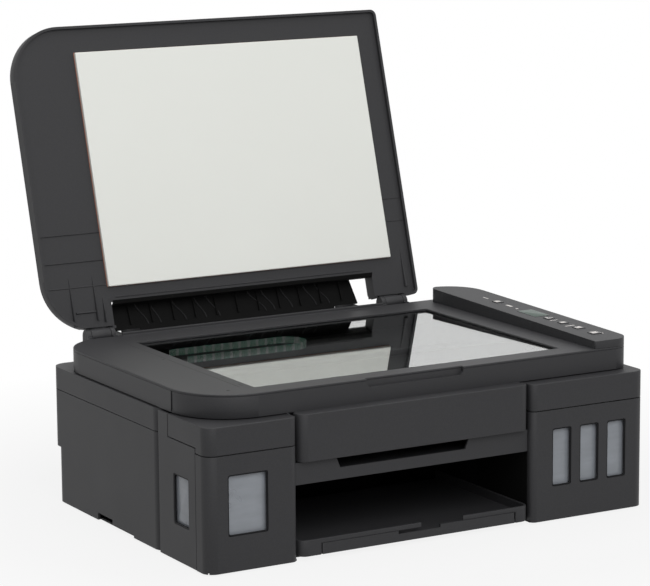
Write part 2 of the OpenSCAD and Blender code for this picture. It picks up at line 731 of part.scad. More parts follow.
// A side guide that slides on the back plate
module paper_guide(x, s) piece(casing) leaning() translate([x, 0, 0]) {
    translate([s > 0 ? 0 : -3, 0, 0]) rotate([90, 0, 90]) linear_extrude(3)
        polygon([[-clear, -11], [-3, -20], [-8, -38], [-8, -52], [-clear, -52]]);
    block(s > 0 ? 0 : -14, s > 0 ? 14 : 0, -2.4, -clear, -50, -36);
}

module left_paper_guide() paper_guide(path_x - guide_open, -1);
module right_paper_guide() paper_guide(path_x + guide_open, 1);

// Sliding paper support with its ribbed head
module paper_support() piece(casing) leaning() {
    block(path_x - support_w / 2, path_x + support_w / 2, support_y, support_y + support_t,
        -52, head_z + eps);
    translate([0, support_y + support_t, 0]) rotate([90, 0, 0]) linear_extrude(support_t) polygon([
        [rear_x0 - head_over, head_z],
        [rear_x1 + head_over, head_z],
        [rear_x1 + head_over - head_slope, support_rise],
        [rear_x0 - head_over, support_rise]]);
    for (i = [-5:5])
        translate([path_x + i * rib_pitch - 0.8, support_y - 2, head_z + 4]) cube([1.6, 2 + eps, rib_h]);
}

ext_w = 120;

module support_extension() piece(casing) leaning() {
    y = support_y + support_t + clear;
    block(path_x - ext_w / 2, path_x + ext_w / 2, y, y + 2, -40, support_rise - 7);
}

// Flap that keeps dust out of the rear feed slot
module feed_slot_cover() piece(casing) {
    x0 = rear_x0 + 1;
    x1 = rear_x1 - 1;
    block(x0, x1, flap_y, flap_y + flap_l, flap_z - 0.2, flap_z + 1.6);
    xrod(x0, x1, flap_y, flap_z, 1.6);
    xrod(rear_x0 - cheek_t + 0.2, rear_x1 + cheek_t - 0.2, flap_y, flap_z, 1.2);
}

tray_x0 = left_x + 1.6;
tray_x1 = right_x - 2;
tray_floor = tray_z + 3.8;
ext_x0 = tray_x0 + extension_inset + 6.1;
ext_x1 = tray_x1 - extension_inset;
ext_x = (ext_x0 + ext_x1) / 2;

// Pull-out tray that catches the printed sheets
module output_tray() piece(casing) difference() {
    union() {
        slab(tray_z, tray_z + tray_h) difference() {
            outline(tray_x0, tray_x1, 0, 30, 8, 8);
            outline(tray_x0 + wall, tray_x1 - wall, wall, 31, 8 - wall, 8 - wall);
        }
        block(tray_x0, tray_x0 + wall, 30 - eps, tray_d, tray_z, tray_z + tray_h);
        block(tray_x1 - wall, tray_x1, 30 - eps, tray_d, tray_z, tray_z + tray_h);
        block(tray_x0 + wall - eps, tray_x1 - wall + eps, wall - eps, tray_d, tray_floor, tray_floor + 2.5);
        for (x = [ext_x0 - 4, ext_x1 + 1])
            block(x, x + 3, wall, tray_d, tray_z, tray_floor + eps);
    }
    block(ext_x0 - 1, ext_x1 + 1, -1, wall + 1, tray_z - 1, tray_z + tray_h - 4);
    translate([ext_x + 1, -1, tray_z + tray_h - 4 - eps]) cube([42, wall + 2, 6]);
}

// Sliding extension below the tray, with its lip and stop tab
module tray_extension() piece(casing) difference() {
    union() {
        block(ext_x0, ext_x1, 0, tray_d - 50, tray_z + 0.2, tray_floor - clear);
        slab(tray_z + 0.2, tray_z + tray_h - 4.2) outline(ext_x0, ext_x1, 0, wall, 1, 1);
        block(ext_x - 21, ext_x + 11, 0, wall, tray_z + 1, tray_z + tray_h - 4.2);
    }
    translate([ext_x - 22, -1, tray_z + tray_h - 7]) cube([42, wall + 2, 4]);
}

// Capping and cleaning station below the parked carriage
module purge_unit() piece(dark) {
    block(park_x - 38, park_x + 36, 122, 186, floor_z, path_z - 10);
    for (s = [-1, 1])
        translate([park_x + s * 18 - 11, 137, path_z - 10 - eps]) cube([22, 26, 10.4]);
    block(park_x - 36, park_x - 33, 140, 160, path_z - 10 - eps, path_z);
}

// Power supply with its mains inlet in the rear wall
module power_supply() piece(dark) difference() {
    union() {
        block(case_x0 + 8, frame_x0 - 10.6, 225, 285, floor_z, 60);
        block(inlet_x - inlet_w / 2 + 0.3, inlet_x + inlet_w / 2 - 0.3, 285 - eps, case_d,
            inlet_z + 0.3, inlet_z + inlet_h - 0.3);
    }
    block(inlet_x - inlet_w / 2 + 2.5, inlet_x + inlet_w / 2 - 2.5, case_d - 15, case_d + 1,
        inlet_z + 2.5, inlet_z + inlet_h - 2.5);
    for (s = [-1, 1]) translate([inlet_x + s * 4 - 1, case_d - 15.1, inlet_z + 8]) cube([2, 0.2, 4]);
}

// Main board with its USB socket in the rear wall
module main_board() piece([0.1, 0.35, 0.2]) difference() {
    union() {
        block(case_x1 - 100, case_x1 - 10.5, web_y + sheet + 7, case_d - 7, usb_z - 1.6, usb_z + 0.3);
        for (x = [case_x1 - 96, case_x1 - 16.5], y = [228, 282])
            translate([x, y, floor_z]) cylinder(h = usb_z - 1.6 - floor_z + eps, r = 3);
        block(usb_x - usb_w / 2 + 0.3, usb_x + usb_w / 2 - 0.3, 276, case_d,
            usb_z + 0.3 - eps, usb_z + usb_h - 0.3);
        block(case_x1 - 81, case_x1 - 56, 240, 265, usb_z + 0.3 - eps, usb_z + 2.5);
    }
    block(usb_x - usb_w / 2 + 1.5, usb_x + usb_w / 2 - 1.5, case_d - 12, case_d + 1,
        usb_z + 1.5, usb_z + usb_h - 1.5);
}

module scan_outline(inset = 0)
    outline(scan_l + inset, scan_r - inset, scan_y + inset, scan_rear - inset,
        scan_left_r - inset, scan_right_r - inset, scan_right_r - inset, scan_rear_r - inset);

grip_w = 96;
grip_z = scan_top - 7.5;
grip_x = -14;
sensor_rail_y = open_y0 + glass_d / 2;
sensor_rail_z = scan_z + 5.5;
hinge_mid = lid_mid + 7.75;
hinge_xs = [hinge_mid - hinge_x, hinge_mid + hinge_x];
lug_w = 4;

// Recess for the fingers in the front edge of the scanner
module grip(depth, more = 0) translate([0, scan_y + depth, 0]) rotate([90, 0, 0]) linear_extrude(depth + 1)
    polygon([[grip_x - grip_w / 2 - more, scan_top + 1], [grip_x - grip_w / 2 - more, grip_z + 3 - more],
        [grip_x - grip_w / 2 - more + 3, grip_z - more], [grip_x + grip_w / 2 + more - 3, grip_z - more],
        [grip_x + grip_w / 2 + more, grip_z + 3 - more], [grip_x + grip_w / 2 + more, scan_top + 1]]);

// Scanner housing with the sensor's rod, the lid's hinge lugs and the arms it tilts on
module scanner_case() piece(casing) difference() {
    union() {
        difference() {
            slab(scan_z, frame_z) scan_outline();
            slab(scan_z + 2.2, frame_z + 1) scan_outline(wall);
        }
        block(grip_x - grip_w / 2 - 4, grip_x + grip_w / 2 + 4, scan_y + 1, scan_y + 6, scan_z + 1, frame_z);
        for (y = [open_y0 - 8, open_y1 + 4])
            block(open_x0 - 8, open_x1 + 8, y, y + 4, scan_z + 1, frame_z - glass_t);
        for (x = [open_x0 - 34, open_x1 + 30])
            block(x, x + 6, sensor_rail_y - 6, sensor_rail_y + 6, scan_z + 1, frame_z - glass_t - 4);
        xrod(open_x0 - 30, open_x1 + 32, sensor_rail_y, sensor_rail_z, 3);
        for (x = hinge_xs, s = [-1, 1]) translate([x + s * (hinge_w / 2 - lug_w / 2) - lug_w / 2, 0, 0]) {
            xrod(0, lug_w, hinge_y, hinge_z, knuckle_r);
            block(0, lug_w, scan_rear - 2, hinge_y + knuckle_r, scan_z + 12, hinge_z);
        }
        for (x = [-tilt_x, tilt_x], s = [-1, 1]) translate([x + s * (lug_t / 2 + clear + 2.5) - 2.5, 0, 0]) {
            xrod(0, 5, tilt_y, tilt_z, tilt_r);
            block(0, 5, scan_rear - 3, tilt_y, scan_z, tilt_z + tilt_r);
        }
        for (x = [-tilt_x, tilt_x]) xrod(x - lug_t, x + lug_t, tilt_y, tilt_z, pin_r);
    }
    grip(3.6);
    for (x = hinge_xs) xrod(x - hinge_w / 2 - 1, x + hinge_w / 2 + 1, hinge_y, hinge_z, pin_r + run);
    for (x = hinge_xs)
        block(x - hinge_w / 2 + lug_w, x + hinge_w / 2 - lug_w, scan_rear, scan_rear + 20,
            scan_z, scan_top + 20);
}

// Upper frame that holds the glass
module scanner_frame() piece(casing) difference() {
    union() {
        slab(frame_z, scan_top) scan_outline();
        block(notch_x0, notch_x1, scan_rear - 4.5, scan_rear - 1.5, scan_top - eps, scan_top + rail_h);
    }
    block(open_x0, open_x1, open_y0, open_y1, frame_z - 1, scan_top + 1);
    grip(3.6);
    for (x = hinge_xs)
        block(x - hinge_w / 2, x + hinge_w / 2, scan_rear - 2, scan_rear + 1, frame_z - 1, scan_top + 1);
}

module platen_glass() piece(clear_plastic)
    block(open_x0 - 8, open_x1 + 8, open_y0 - 8, open_y1 + 8, frame_z - glass_t, frame_z);

sensor_x = (open_x0 + open_x1) / 2 - 8 - sensor_travel / 2;

// Image sensor that travels under the glass
module image_sensor() piece(dark) difference() {
    union() {
        block(sensor_x - sensor_w / 2, sensor_x + sensor_w / 2, open_y0 + 0.5, open_y1 - 0.5,
            frame_z - glass_t - 6, frame_z - glass_t - 0.7);
        block(sensor_x - sensor_w / 2, sensor_x + sensor_w / 2, sensor_rail_y - 9, sensor_rail_y + 9,
            scan_z + 3.2, frame_z - glass_t - 5);
    }
    xrod(sensor_x - sensor_w, sensor_x + sensor_w, sensor_rail_y, sensor_rail_z, 3 + run);
}

cable_r = 18;
cable_t = 0.6;
cable_h = 6;
cable_x0 = open_x0 + 30;
cable_x1 = path_x + 4;
cable_y = open_y1 - 5 - cable_r;
cable_z = scan_z + 2.2;

module cable_loop(r, more = 0) {
    circle(r);
    translate([cable_x0 - cable_x1 - more, -r]) square([cable_x1 - cable_x0 + more, 2 * r]);
}

// Flat cable standing on edge in the scanner case
module ribbon_cable() piece([0.7, 0.72, 0.7])
    translate([cable_x1, cable_y, cable_z]) linear_extrude(cable_h) difference() {
        cable_loop(cable_r);
        cable_loop(cable_r - cable_t, 1);
    }

panel_x0 = left_x + 2.3;
panel_x1 = right_x - 2.2;

// Front panel hung under the scanner unit
module front_panel() piece(casing) {
    slab(panel_z, scan_z) difference() {
        outline(panel_x0, panel_x1, 0, 12, 8, 8);
        outline(panel_x0 + 3, panel_x1 - 3, 3, 13, 5, 5);
    }
    block(panel_x0 + 2, panel_x1 - 2, 3 - eps, 30, scan_z - 3, scan_z);
}

// Frame of the operation panel's sloping top
module on_panel() translate([op_mid, scan_y, scan_top + op_front_h]) rotate([op_angle, 0, 0]) children();

button_gap = 0.3;
buttons = [[186, 8, 8], [101.5, 8, 7], [79, 8, 7], [54.4, 9, 8], [29.6, 10, 9]];
display = [127, 16, 30];

module well(b, more) on_panel()
    block(-b[1] / 2 - more, b[1] / 2 + more, b[0] - b[2] / 2 - more, b[0] + b[2] / 2 + more,
        -2 - button_travel - 0.4, 2);

module operation_panel() piece(casing) difference() {
    slab(scan_top, scan_top + op_rear_h + 1)
        outline(op_x0, scan_r, scan_y, scan_y + op_d, 2, scan_right_r, 36, 10);
    on_panel() block(-60, 60, -10, op_d + 10, 0, 30);
    for (b = buttons) {
        well(b, button_gap);
        on_panel() translate([0, b[0], -6.6]) cylinder(h = 6, r = 1.5 + run);
    }
    on_panel() block(-display[1] / 2 - 0.1, display[1] / 2 + 0.1, display[0] - display[2] / 2 - 0.1,
        display[0] + display[2] / 2 + 0.1, -1, 2);
}

module display_window() piece([0.1, 0.16, 0.12]) on_panel()
    block(-display[1] / 2, display[1] / 2, display[0] - display[2] / 2, display[0] + display[2] / 2, -1, 0.2);

// A push button with its stem
module button(b) piece(dark) on_panel() {
    block(-b[1] / 2, b[1] / 2, b[0] - b[2] / 2, b[0] + b[2] / 2, -2, 0.6);
    translate([0, b[0], -5.6]) cylinder(h = 4, r = 1.5);
}

module power_button() button(buttons[0]);
module menu_button() button(buttons[1]);
module stop_button() button(buttons[2]);
module black_button() button(buttons[3]);
module colour_button() button(buttons[4]);

// Turns the lid from closed to its open rest position
module open_lid() translate([0, hinge_y, hinge_z]) rotate([-lid_angle, 0, 0])
    translate([0, -hinge_y, -hinge_z]) children();

module lid_outline(inset = 0) outline(lid_l + inset, lid_r - inset, lid_y + inset, lid_rear - inset,
    lid_left_r - inset, max(lid_right_r - inset, 0), max(lid_right_r - inset, 0), lid_left_r - inset);

module lid_notch(inset, z0, z1)
    block(notch_x0 - inset, notch_x1 + inset, lid_rear - notch_d - inset, lid_rear + 1, z0, z1);

module hinge_cuts() for (x = hinge_xs)
    block(x - hinge_w / 2 - 1, x + hinge_w / 2 + 1, hinge_y - 7.6, hinge_y, lid_z - 1, lid_z + 11.2);

// Outer shell of the scanner lid
module lid_shell() piece(casing) open_lid() difference() {
    union() {
        difference() {
            union() {
                slab(lid_z, lid_top - 6) lid_outline();
                slab(lid_top - 6 - eps, lid_top - 2.5) lid_outline(1.2);
                slab(lid_top - 2.5 - eps, lid_top) lid_outline(lid_edge);
            }
            slab(lid_z - 1, lid_top - 6) lid_outline(wall);
            slab(lid_top - 6 - eps, lid_top - wall) lid_outline(wall + lid_edge);
        }
        difference() {
            lid_notch(wall, lid_z + liner_depth, lid_top - 1);
            block(notch_x0 - 5, notch_x1 + 5, lid_rear - 1, lid_rear + 2, lid_z - 1, lid_top + 1);
        }
    }
    lid_notch(0, lid_z - 1, lid_top + 1);
    hinge_cuts();
    for (x = hinge_xs)
        block(x - hinge_w / 2 + lug_w, x + hinge_w / 2 - lug_w, 263, lid_rear, lid_z + liner_depth + 2 - clear,
            lid_z + 11.2);
}

// Inner liner of the lid, sunk behind its rim
module lid_liner() piece(casing) open_lid() difference() {
    slab(lid_z + liner_depth, lid_z + liner_depth + 2) lid_outline(wall);
    lid_notch(wall, lid_z, lid_top);
    hinge_cuts();
}

pad_x = open_x0 + 1;
pad_y = open_y0 + 5.3;

module document_pad() piece(white) open_lid()
    block(pad_x, pad_x + pad_w, pad_y, pad_y + pad_d, lid_z + liner_depth - pad_t, lid_z + liner_depth);

// Arms that carry the lid on the scanner's lugs
module lid_hinges() piece(dark) open_lid() for (x = hinge_xs) {
    w = hinge_w - 2 * lug_w - 2 * clear;
    block(x - w / 2, x + w / 2, 264, hinge_y, lid_z + liner_depth + 2, lid_z + 10.8);
    block(x - w / 2, x + w / 2, hinge_y - 5, hinge_y, lid_z, lid_z + liner_depth + 2 + eps);
    xrod(x - w / 2, x + w / 2, hinge_y, hinge_z, knuckle_r);
    xrod(x - hinge_w / 2, x + hinge_w / 2, hinge_y, hinge_z, pin_r);
}

base_tray();
rubber_feet();
left_side_panel();
right_side_panel();
rear_cover();
top_cover();
left_front_bezel();
left_side_bezel();
left_tank_cover();
right_tank_bezel();
right_tank_cover();
output_bezel();
black_ink_tank();
cyan_ink_tank();
magenta_ink_tank();
yellow_ink_tank();
tank_caps();
ink_tubes();
chassis();
carriage_belt();
drive_motors();
carriage();
print_heads();
drive_pulley();
idler_pulley();
platen();
feed_roller();
pinch_rollers();
eject_roller();
star_wheels();
feed_belt();
pickup_roller();
rear_tray();
left_paper_guide();
right_paper_guide();
paper_support();
support_extension();
feed_slot_cover();
output_tray();
tray_extension();
purge_unit();
power_supply();
main_board();
scanner_case();
scanner_frame();
platen_glass();
image_sensor();
ribbon_cable();
front_panel();
operation_panel();
display_window();
power_button();
menu_button();
stop_button();
black_button();
colour_button();
lid_shell();
lid_liner();
document_pad();
lid_hinges();
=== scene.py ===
"""Inkjet printer with refillable tanks: its surfaces, finishes, camera and stage."""

import json
import math

import bmesh
import bpy
import numpy as np
from mathutils import Matrix, Vector


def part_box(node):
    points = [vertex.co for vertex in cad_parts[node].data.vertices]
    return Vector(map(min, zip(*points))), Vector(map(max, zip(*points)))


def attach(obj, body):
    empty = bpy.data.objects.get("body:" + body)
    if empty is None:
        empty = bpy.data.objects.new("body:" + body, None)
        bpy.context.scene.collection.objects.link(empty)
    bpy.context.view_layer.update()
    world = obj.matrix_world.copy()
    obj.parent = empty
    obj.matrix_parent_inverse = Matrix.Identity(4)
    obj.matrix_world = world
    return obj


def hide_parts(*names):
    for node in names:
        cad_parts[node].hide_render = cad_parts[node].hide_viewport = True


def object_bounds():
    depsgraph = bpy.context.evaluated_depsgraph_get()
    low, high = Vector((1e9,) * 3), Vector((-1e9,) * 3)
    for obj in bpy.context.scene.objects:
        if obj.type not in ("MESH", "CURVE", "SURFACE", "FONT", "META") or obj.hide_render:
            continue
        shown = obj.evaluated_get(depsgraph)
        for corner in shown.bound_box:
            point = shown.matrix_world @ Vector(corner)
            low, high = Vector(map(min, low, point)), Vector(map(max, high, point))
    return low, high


bl_info = {
    "name": "Tank Printer",
    "version": (1, 0, 0),
    "blender": (4, 5, 0),
    "location": "View3D > Sidebar > Printer",
    "description": "Dresses the packed tank printer with surfaces and finishes",
    "category": "Object",
}

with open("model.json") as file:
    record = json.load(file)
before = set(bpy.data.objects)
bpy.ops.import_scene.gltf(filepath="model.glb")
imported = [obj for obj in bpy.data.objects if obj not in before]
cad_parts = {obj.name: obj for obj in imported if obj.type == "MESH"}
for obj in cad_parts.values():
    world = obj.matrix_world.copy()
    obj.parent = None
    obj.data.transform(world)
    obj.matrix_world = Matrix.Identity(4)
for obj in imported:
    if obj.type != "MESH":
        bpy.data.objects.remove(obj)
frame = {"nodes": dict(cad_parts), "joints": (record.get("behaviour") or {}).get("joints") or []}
CAD_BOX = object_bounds()
MM = 0.001
WHITE = (1.0, 1.0, 1.0)

# The pieces are laid out in millimetres: x from a line CASE_LEFT right of the case's left
# side, and y from the front of the tank housings
CASE_LEFT = 222.5
SHIFT_X = CAD_BOX[0].x / MM + CASE_LEFT
FRONT = CAD_BOX[0].y / MM
SHIFT = Vector((SHIFT_X, FRONT, 0))


def box(node):
    """Lowest and highest corner of a CAD node in those millimetres."""
    low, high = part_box(node)
    return low / MM - SHIFT, high / MM - SHIFT


# The open lid's angle and its hinge line, and the slopes of the paper support and of the panel
JOINTS = {joint["name"]: joint for joint in frame["joints"]}
LID_ANGLE = math.radians(JOINTS["lid_hinge"]["range_deg"][0])
HINGE_Y = JOINTS["lid_hinge"]["pos_m"][1] / MM - FRONT
HINGE_Z = JOINTS["lid_hinge"]["pos_m"][2] / MM
LEAN = math.atan2(*JOINTS["paper_support_slide"]["axis"][1:])
PANEL_TILT = math.atan2(*[abs(v) for v in JOINTS["power_button_press"]["axis"][1:]])

# Height of the liner's face while the lid is closed
LINER_Z = HINGE_Z + 3.3
# x span of the notch in the lid
NOTCH_X0, NOTCH_X1 = -155.0, 121.0
# y and z of the foot of the paper support's head
HEAD_FOOT = (317.0, 144.6)
# Height of the operation panel's front edge over its underside
PANEL_FRONT = 7.0
# x and y spans of the document pad while the lid is closed
PAD = (-156.5, 143.5, 40.8, 257.8)
# Middle in x of the black tank and of the middle colour tank, and the step between colours
BLACK_X, COLOUR_X, COLOUR_PITCH = -184.0, 156.3, 29.0


# ---------------------------------------------------------------- settings


class PrinterSizes(bpy.types.PropertyGroup):
    """Sizes of the finishing details, in metres."""

    edge: bpy.props.FloatProperty(
        name="Edge radius", description="Rounding of a moulded cover's edges",
        default=0.0007, min=0.0, unit="LENGTH")
    small_edge: bpy.props.FloatProperty(
        name="Small edge radius", description="Rounding of small mouldings and sheet metal",
        default=0.0003, min=0.0, unit="LENGTH")
    grain: bpy.props.FloatProperty(
        name="Grain size", description="Size of the moulded texture's grain",
        default=0.0009, min=0.0001, unit="LENGTH")


class PrinterColours(bpy.types.PropertyGroup):
    """Colours of the finishes, as linear values."""

    casing: bpy.props.FloatVectorProperty(
        name="Casing", description="Charcoal plastic of the covers",
        default=(0.028, 0.028, 0.030), size=3, subtype="COLOR")
    pad: bpy.props.FloatVectorProperty(
        name="Document pad", description="White film of the pad",
        default=(0.74, 0.75, 0.71), size=3, subtype="COLOR")
    tank: bpy.props.FloatVectorProperty(
        name="Ink tank", description="Milky clear plastic of the tanks",
        default=(0.30, 0.32, 0.35), size=3, subtype="COLOR")
    floor: bpy.props.FloatVectorProperty(
        name="Floor", description="Pale floor and backdrop",
        default=(0.40, 0.40, 0.40), size=3, subtype="COLOR")


def sizes():
    return bpy.context.scene.printer_sizes


def colours():
    return bpy.context.scene.printer_colours


# ---------------------------------------------------------------- shader maths


class Wire:
    """A node socket that adds Math nodes when it is used in an expression."""

    def __init__(self, look, socket):
        self.look = look
        self.socket = socket

    def _math(self, operation, a, b=None):
        values = {0: a} if b is None else {0: a, 1: b}
        return self.look.add("ShaderNodeMath", {"operation": operation}, values)

    def __add__(self, other):
        return self._math("ADD", self, other)

    __radd__ = __add__

    def __mul__(self, other):
        return self._math("MULTIPLY", self, other)

    __rmul__ = __mul__

    def __sub__(self, other):
        return self._math("SUBTRACT", self, other)

    def __rsub__(self, other):
        return self._math("SUBTRACT", other, self)

    def __pow__(self, other):
        return self._math("POWER", self, other)

    def __gt__(self, other):
        return self._math("GREATER_THAN", self, other)

    def __lt__(self, other):
        return self._math("LESS_THAN", self, other)

    def fraction(self):
        return self._math("FRACT", self)

    def between(self, low, high):
        """1 where the value lies from low to high, else 0."""
        return (self > low) * (self < high)

    def ramp(self, low, high):
        """Maps low..high to 0..1, clamped."""
        return self.look.add(
            "ShaderNodeMapRange", {"clamp": True},
            {"Value": self, "From Min": low, "From Max": high})


class Nodes:
    """A node tree, filled from expressions."""

    def __init__(self, tree):
        self.tree = tree
        tree.nodes.clear()

    def feed(self, node, values):
        """Gives each socket its link, its colour or its number."""
        for key, value in values.items():
            socket = node.inputs[key]
            if isinstance(value, Wire):
                self.tree.links.new(value.socket, socket)
            elif socket.type == "RGBA" and len(value) == 3:
                socket.default_value = (*value, 1.0)
            else:
                socket.default_value = value

    def add(self, kind, settings, values, out=0):
        """One node: its settings first, then the values or links of its sockets."""
        node = self.tree.nodes.new(kind)
        for key, value in settings.items():
            setattr(node, key, value)
        self.feed(node, values)
        return Wire(self, node.outputs[out] if node.outputs else None)

    def seen(self):
        """1 for what the camera, a gloss or a clear piece looks at, 0 for light on the object."""
        path = [self.add("ShaderNodeLightPath", {}, {}, f"Is {kind} Ray")
                for kind in ["Camera", "Glossy", "Transmission"]]
        return (path[0] + path[1] + path[2]) > 0.5


class Look(Nodes):
    """A node material, built from expressions round one Principled shader."""

    def __init__(self, name, **shader):
        self.material = bpy.data.materials.new(name)
        self.material.use_nodes = True
        super().__init__(self.material.node_tree)
        self.output = self.tree.nodes.new("ShaderNodeOutputMaterial")
        self.shader = self.tree.nodes.new("ShaderNodeBsdfPrincipled")
        self.tree.links.new(self.shader.outputs[0], self.output.inputs["Surface"])
        self.set(**shader)

    def set(self, **values):
        """Feeds the shader's sockets, with _ in their names for a space."""
        self.feed(self.shader, {key.replace("_", " "): value for key, value in values.items()})

    def axes(self):
        """The object coordinates as three wires, in layout millimetres."""
        place = self.add("ShaderNodeTexCoord", {}, {}, "Object")
        node = self.tree.nodes.new("ShaderNodeSeparateXYZ")
        self.tree.links.new(place.socket, node.inputs[0])
        return [Wire(self, node.outputs[i]) * (1 / MM) - SHIFT[i] for i in range(3)]

    def noise(self, scale, detail=2.0, roughness=0.5):
        """Noise over the object coordinates, scale to the metre."""
        place = self.add("ShaderNodeTexCoord", {}, {}, "Object")
        return self.add(
            "ShaderNodeTexNoise", {},
            {"Vector": place, "Scale": scale, "Detail": detail, "Roughness": roughness}, "Fac")

    def streaks(self, x, y, z, detail):
        """Noise over three wires, so that a small factor on one of them draws it out."""
        place = self.add("ShaderNodeCombineXYZ", {}, {0: x, 1: y, 2: z})
        return self.add(
            "ShaderNodeTexNoise", {}, {"Vector": place, "Scale": 1.0, "Detail": detail}, "Fac")

    def mix(self, a, b, factor):
        """Colour a where the factor is 0, and colour b where it is 1."""
        ends = [end if isinstance(end, Wire) else (*end, 1.0) for end in (a, b)]
        return self.add(
            "ShaderNodeMix", {"data_type": "RGBA"}, {6: ends[0], 7: ends[1], 0: factor}, 2)

    def bump(self, height, strength, distance):
        """A normal tilted by the slope of height, distance high in metres."""
        return self.add(
            "ShaderNodeBump", {}, {"Height": height, "Strength": strength, "Distance": distance})

    def glow(self, factor):
        """Mixes plain white light over the shader, by a factor from 0 to 1."""
        white = self.add("ShaderNodeEmission", {}, {"Color": WHITE, "Strength": 1.0})
        mixed = self.add("ShaderNodeMixShader", {}, {
            0: factor, 1: Wire(self, self.shader.outputs[0]), 2: white})
        self.tree.links.new(mixed.socket, self.output.inputs["Surface"])


def shade(colour, factor):
    """A colour made lighter or darker."""
    return tuple(min(1.0, c * factor) for c in colour)


# ---------------------------------------------------------------- finishes


def grained(look, colour):
    """The fine grain of moulded plastic: its noise, the colour that it varies and its bumps."""
    grain = look.noise(1 / sizes().grain, 3.0, 0.6)
    skin = look.mix(shade(colour, 0.86), shade(colour, 1.16), grain.ramp(0.3, 0.7))
    return grain, skin, look.bump(grain, 0.35, 0.00006)


def moulded(name, colour, roughness=0.52, gloss=0.3):
    """Textured moulded plastic: grain and slow clouds also vary the roughness."""
    look = Look(name, IOR=1.46, Specular_IOR_Level=gloss)
    grain, skin, bumps = grained(look, colour)
    cloud = look.noise(22.0, 2.0)
    look.set(
        Base_Color=skin,
        Roughness=cloud * 0.06 + grain * 0.08 + (roughness - 0.07),
        Normal=bumps)
    return look.material


def plastic_with_painted_shade(name, colour, inner):
    """Grained plastic of a colour, with painted shade: near black where inner, a function of x, y
    and z, is 1.
    """
    look = Look(name, IOR=1.46, Specular_IOR_Level=0.3)
    grain, skin, bumps = grained(look, colour)
    look.set(
        # Painted shade: where inner is 1 the colour goes near black to stand for shade, not for a
        # darker plastic
        Base_Color=look.mix(skin, (0.003, 0.003, 0.003), inner(*look.axes())),
        Roughness=grain * 0.08 + 0.46,
        Normal=bumps)
    return look.material


def shade_inside_scanner(x, y, z):
    """1 inside the scanner case, under its frame, where the plastic is painted near black as shade.
    """
    return x.between(-190.0, 200.0) * y.between(20.0, 285.0) * (z < 143.5)


def shade_beside_output(x, y, z):
    """1 on the side of the right housing that faces the paper output, behind its front, where the
    plastic is painted near black as shade.
    """
    return (x < box("right_tank_bezel")[0].x + 1.0) * (y > 7.0)


def smooth_plastic(name, colour, roughness):
    """Polished plastic with faint flow marks."""
    look = Look(name, IOR=1.48)
    flow = look.noise(60.0, 2.0)
    look.set(
        Base_Color=look.mix(shade(colour, 0.92), shade(colour, 1.08), flow),
        Roughness=flow * 0.08 + (roughness - 0.04),
        Normal=look.bump(flow, 0.05, 0.0001))
    return look.material


def striped_film(name):
    """Pale flat cable with green conductors in short dashes: each repeats 0.11 times to the
    millimetre along the cable and 0.9 times across it."""
    look = Look(name, Roughness=0.4)
    x, y, z = look.axes()
    dash = ((x * 0.11).fraction() < 0.7) * ((z * 0.9).fraction() < 0.5)
    film, conductor = (0.85, 0.88, 0.85), (0.10, 0.45, 0.32)
    look.set(Base_Color=look.mix(film, conductor, dash))
    return look.material


def white_film(name, colour):
    """Satin film over foam, with the foam's soft waves."""
    look = Look(name, IOR=1.45)
    wave = look.noise(14.0, 2.0)
    grain = look.noise(900.0, 2.0)
    look.set(
        Base_Color=look.mix(shade(colour, 0.985), shade(colour, 1.01), wave),
        Roughness=grain * 0.06 + 0.5,
        Normal=look.bump(wave, 0.12, 0.0006))
    return look.material


def rolled_steel(name):
    """Zinc plated sheet with rolling lines along X."""
    look = Look(name, Metallic=1.0)
    zinc = (0.55, 0.56, 0.58)
    x, y, z = look.axes()
    lines = look.streaks(x * 0.012, y * 0.9, z * 0.9, 2.0)
    look.set(
        Base_Color=look.mix(shade(zinc, 0.9), shade(zinc, 1.1), lines),
        Roughness=lines * 0.15 + 0.25)
    return look.material


def rubber(name):
    """Matt rubber with a fine grain."""
    look = Look(name, IOR=1.5)
    black = (0.02, 0.02, 0.02)
    grain = look.noise(1500.0, 2.0)
    look.set(
        Base_Color=look.mix(shade(black, 0.8), shade(black, 1.3), grain),
        Roughness=grain * 0.1 + 0.7,
        Normal=look.bump(grain, 0.2, 0.00005))
    return look.material


def float_glass(name):
    """Flat glass: mostly clear, with the gloss of its upper face."""
    look = Look(name, IOR=2.4, Transmission_Weight=1.0)
    smear = look.noise(9.0, 2.0)
    look.set(
        Base_Color=look.mix((0.93, 0.97, 0.95), (0.95, 0.98, 0.96), smear),
        Roughness=smear * 0.004)
    return look.material


def milky_tank(name, colour):
    """Translucent tank wall with moulding haze and faint level bands."""
    look = Look(name, IOR=1.49, Transmission_Weight=0.25)
    haze = look.noise(35.0, 3.0)
    x, y, z = look.axes()
    band = look.streaks(x * 0.05, y * 0.05, z * 0.22, 3.0)
    look.set(
        Base_Color=look.mix(shade(colour, 0.72), shade(colour, 1.35), (haze + band) * 0.5),
        Roughness=haze * 0.15 + 0.22)
    return look.material


FINISHES = {}


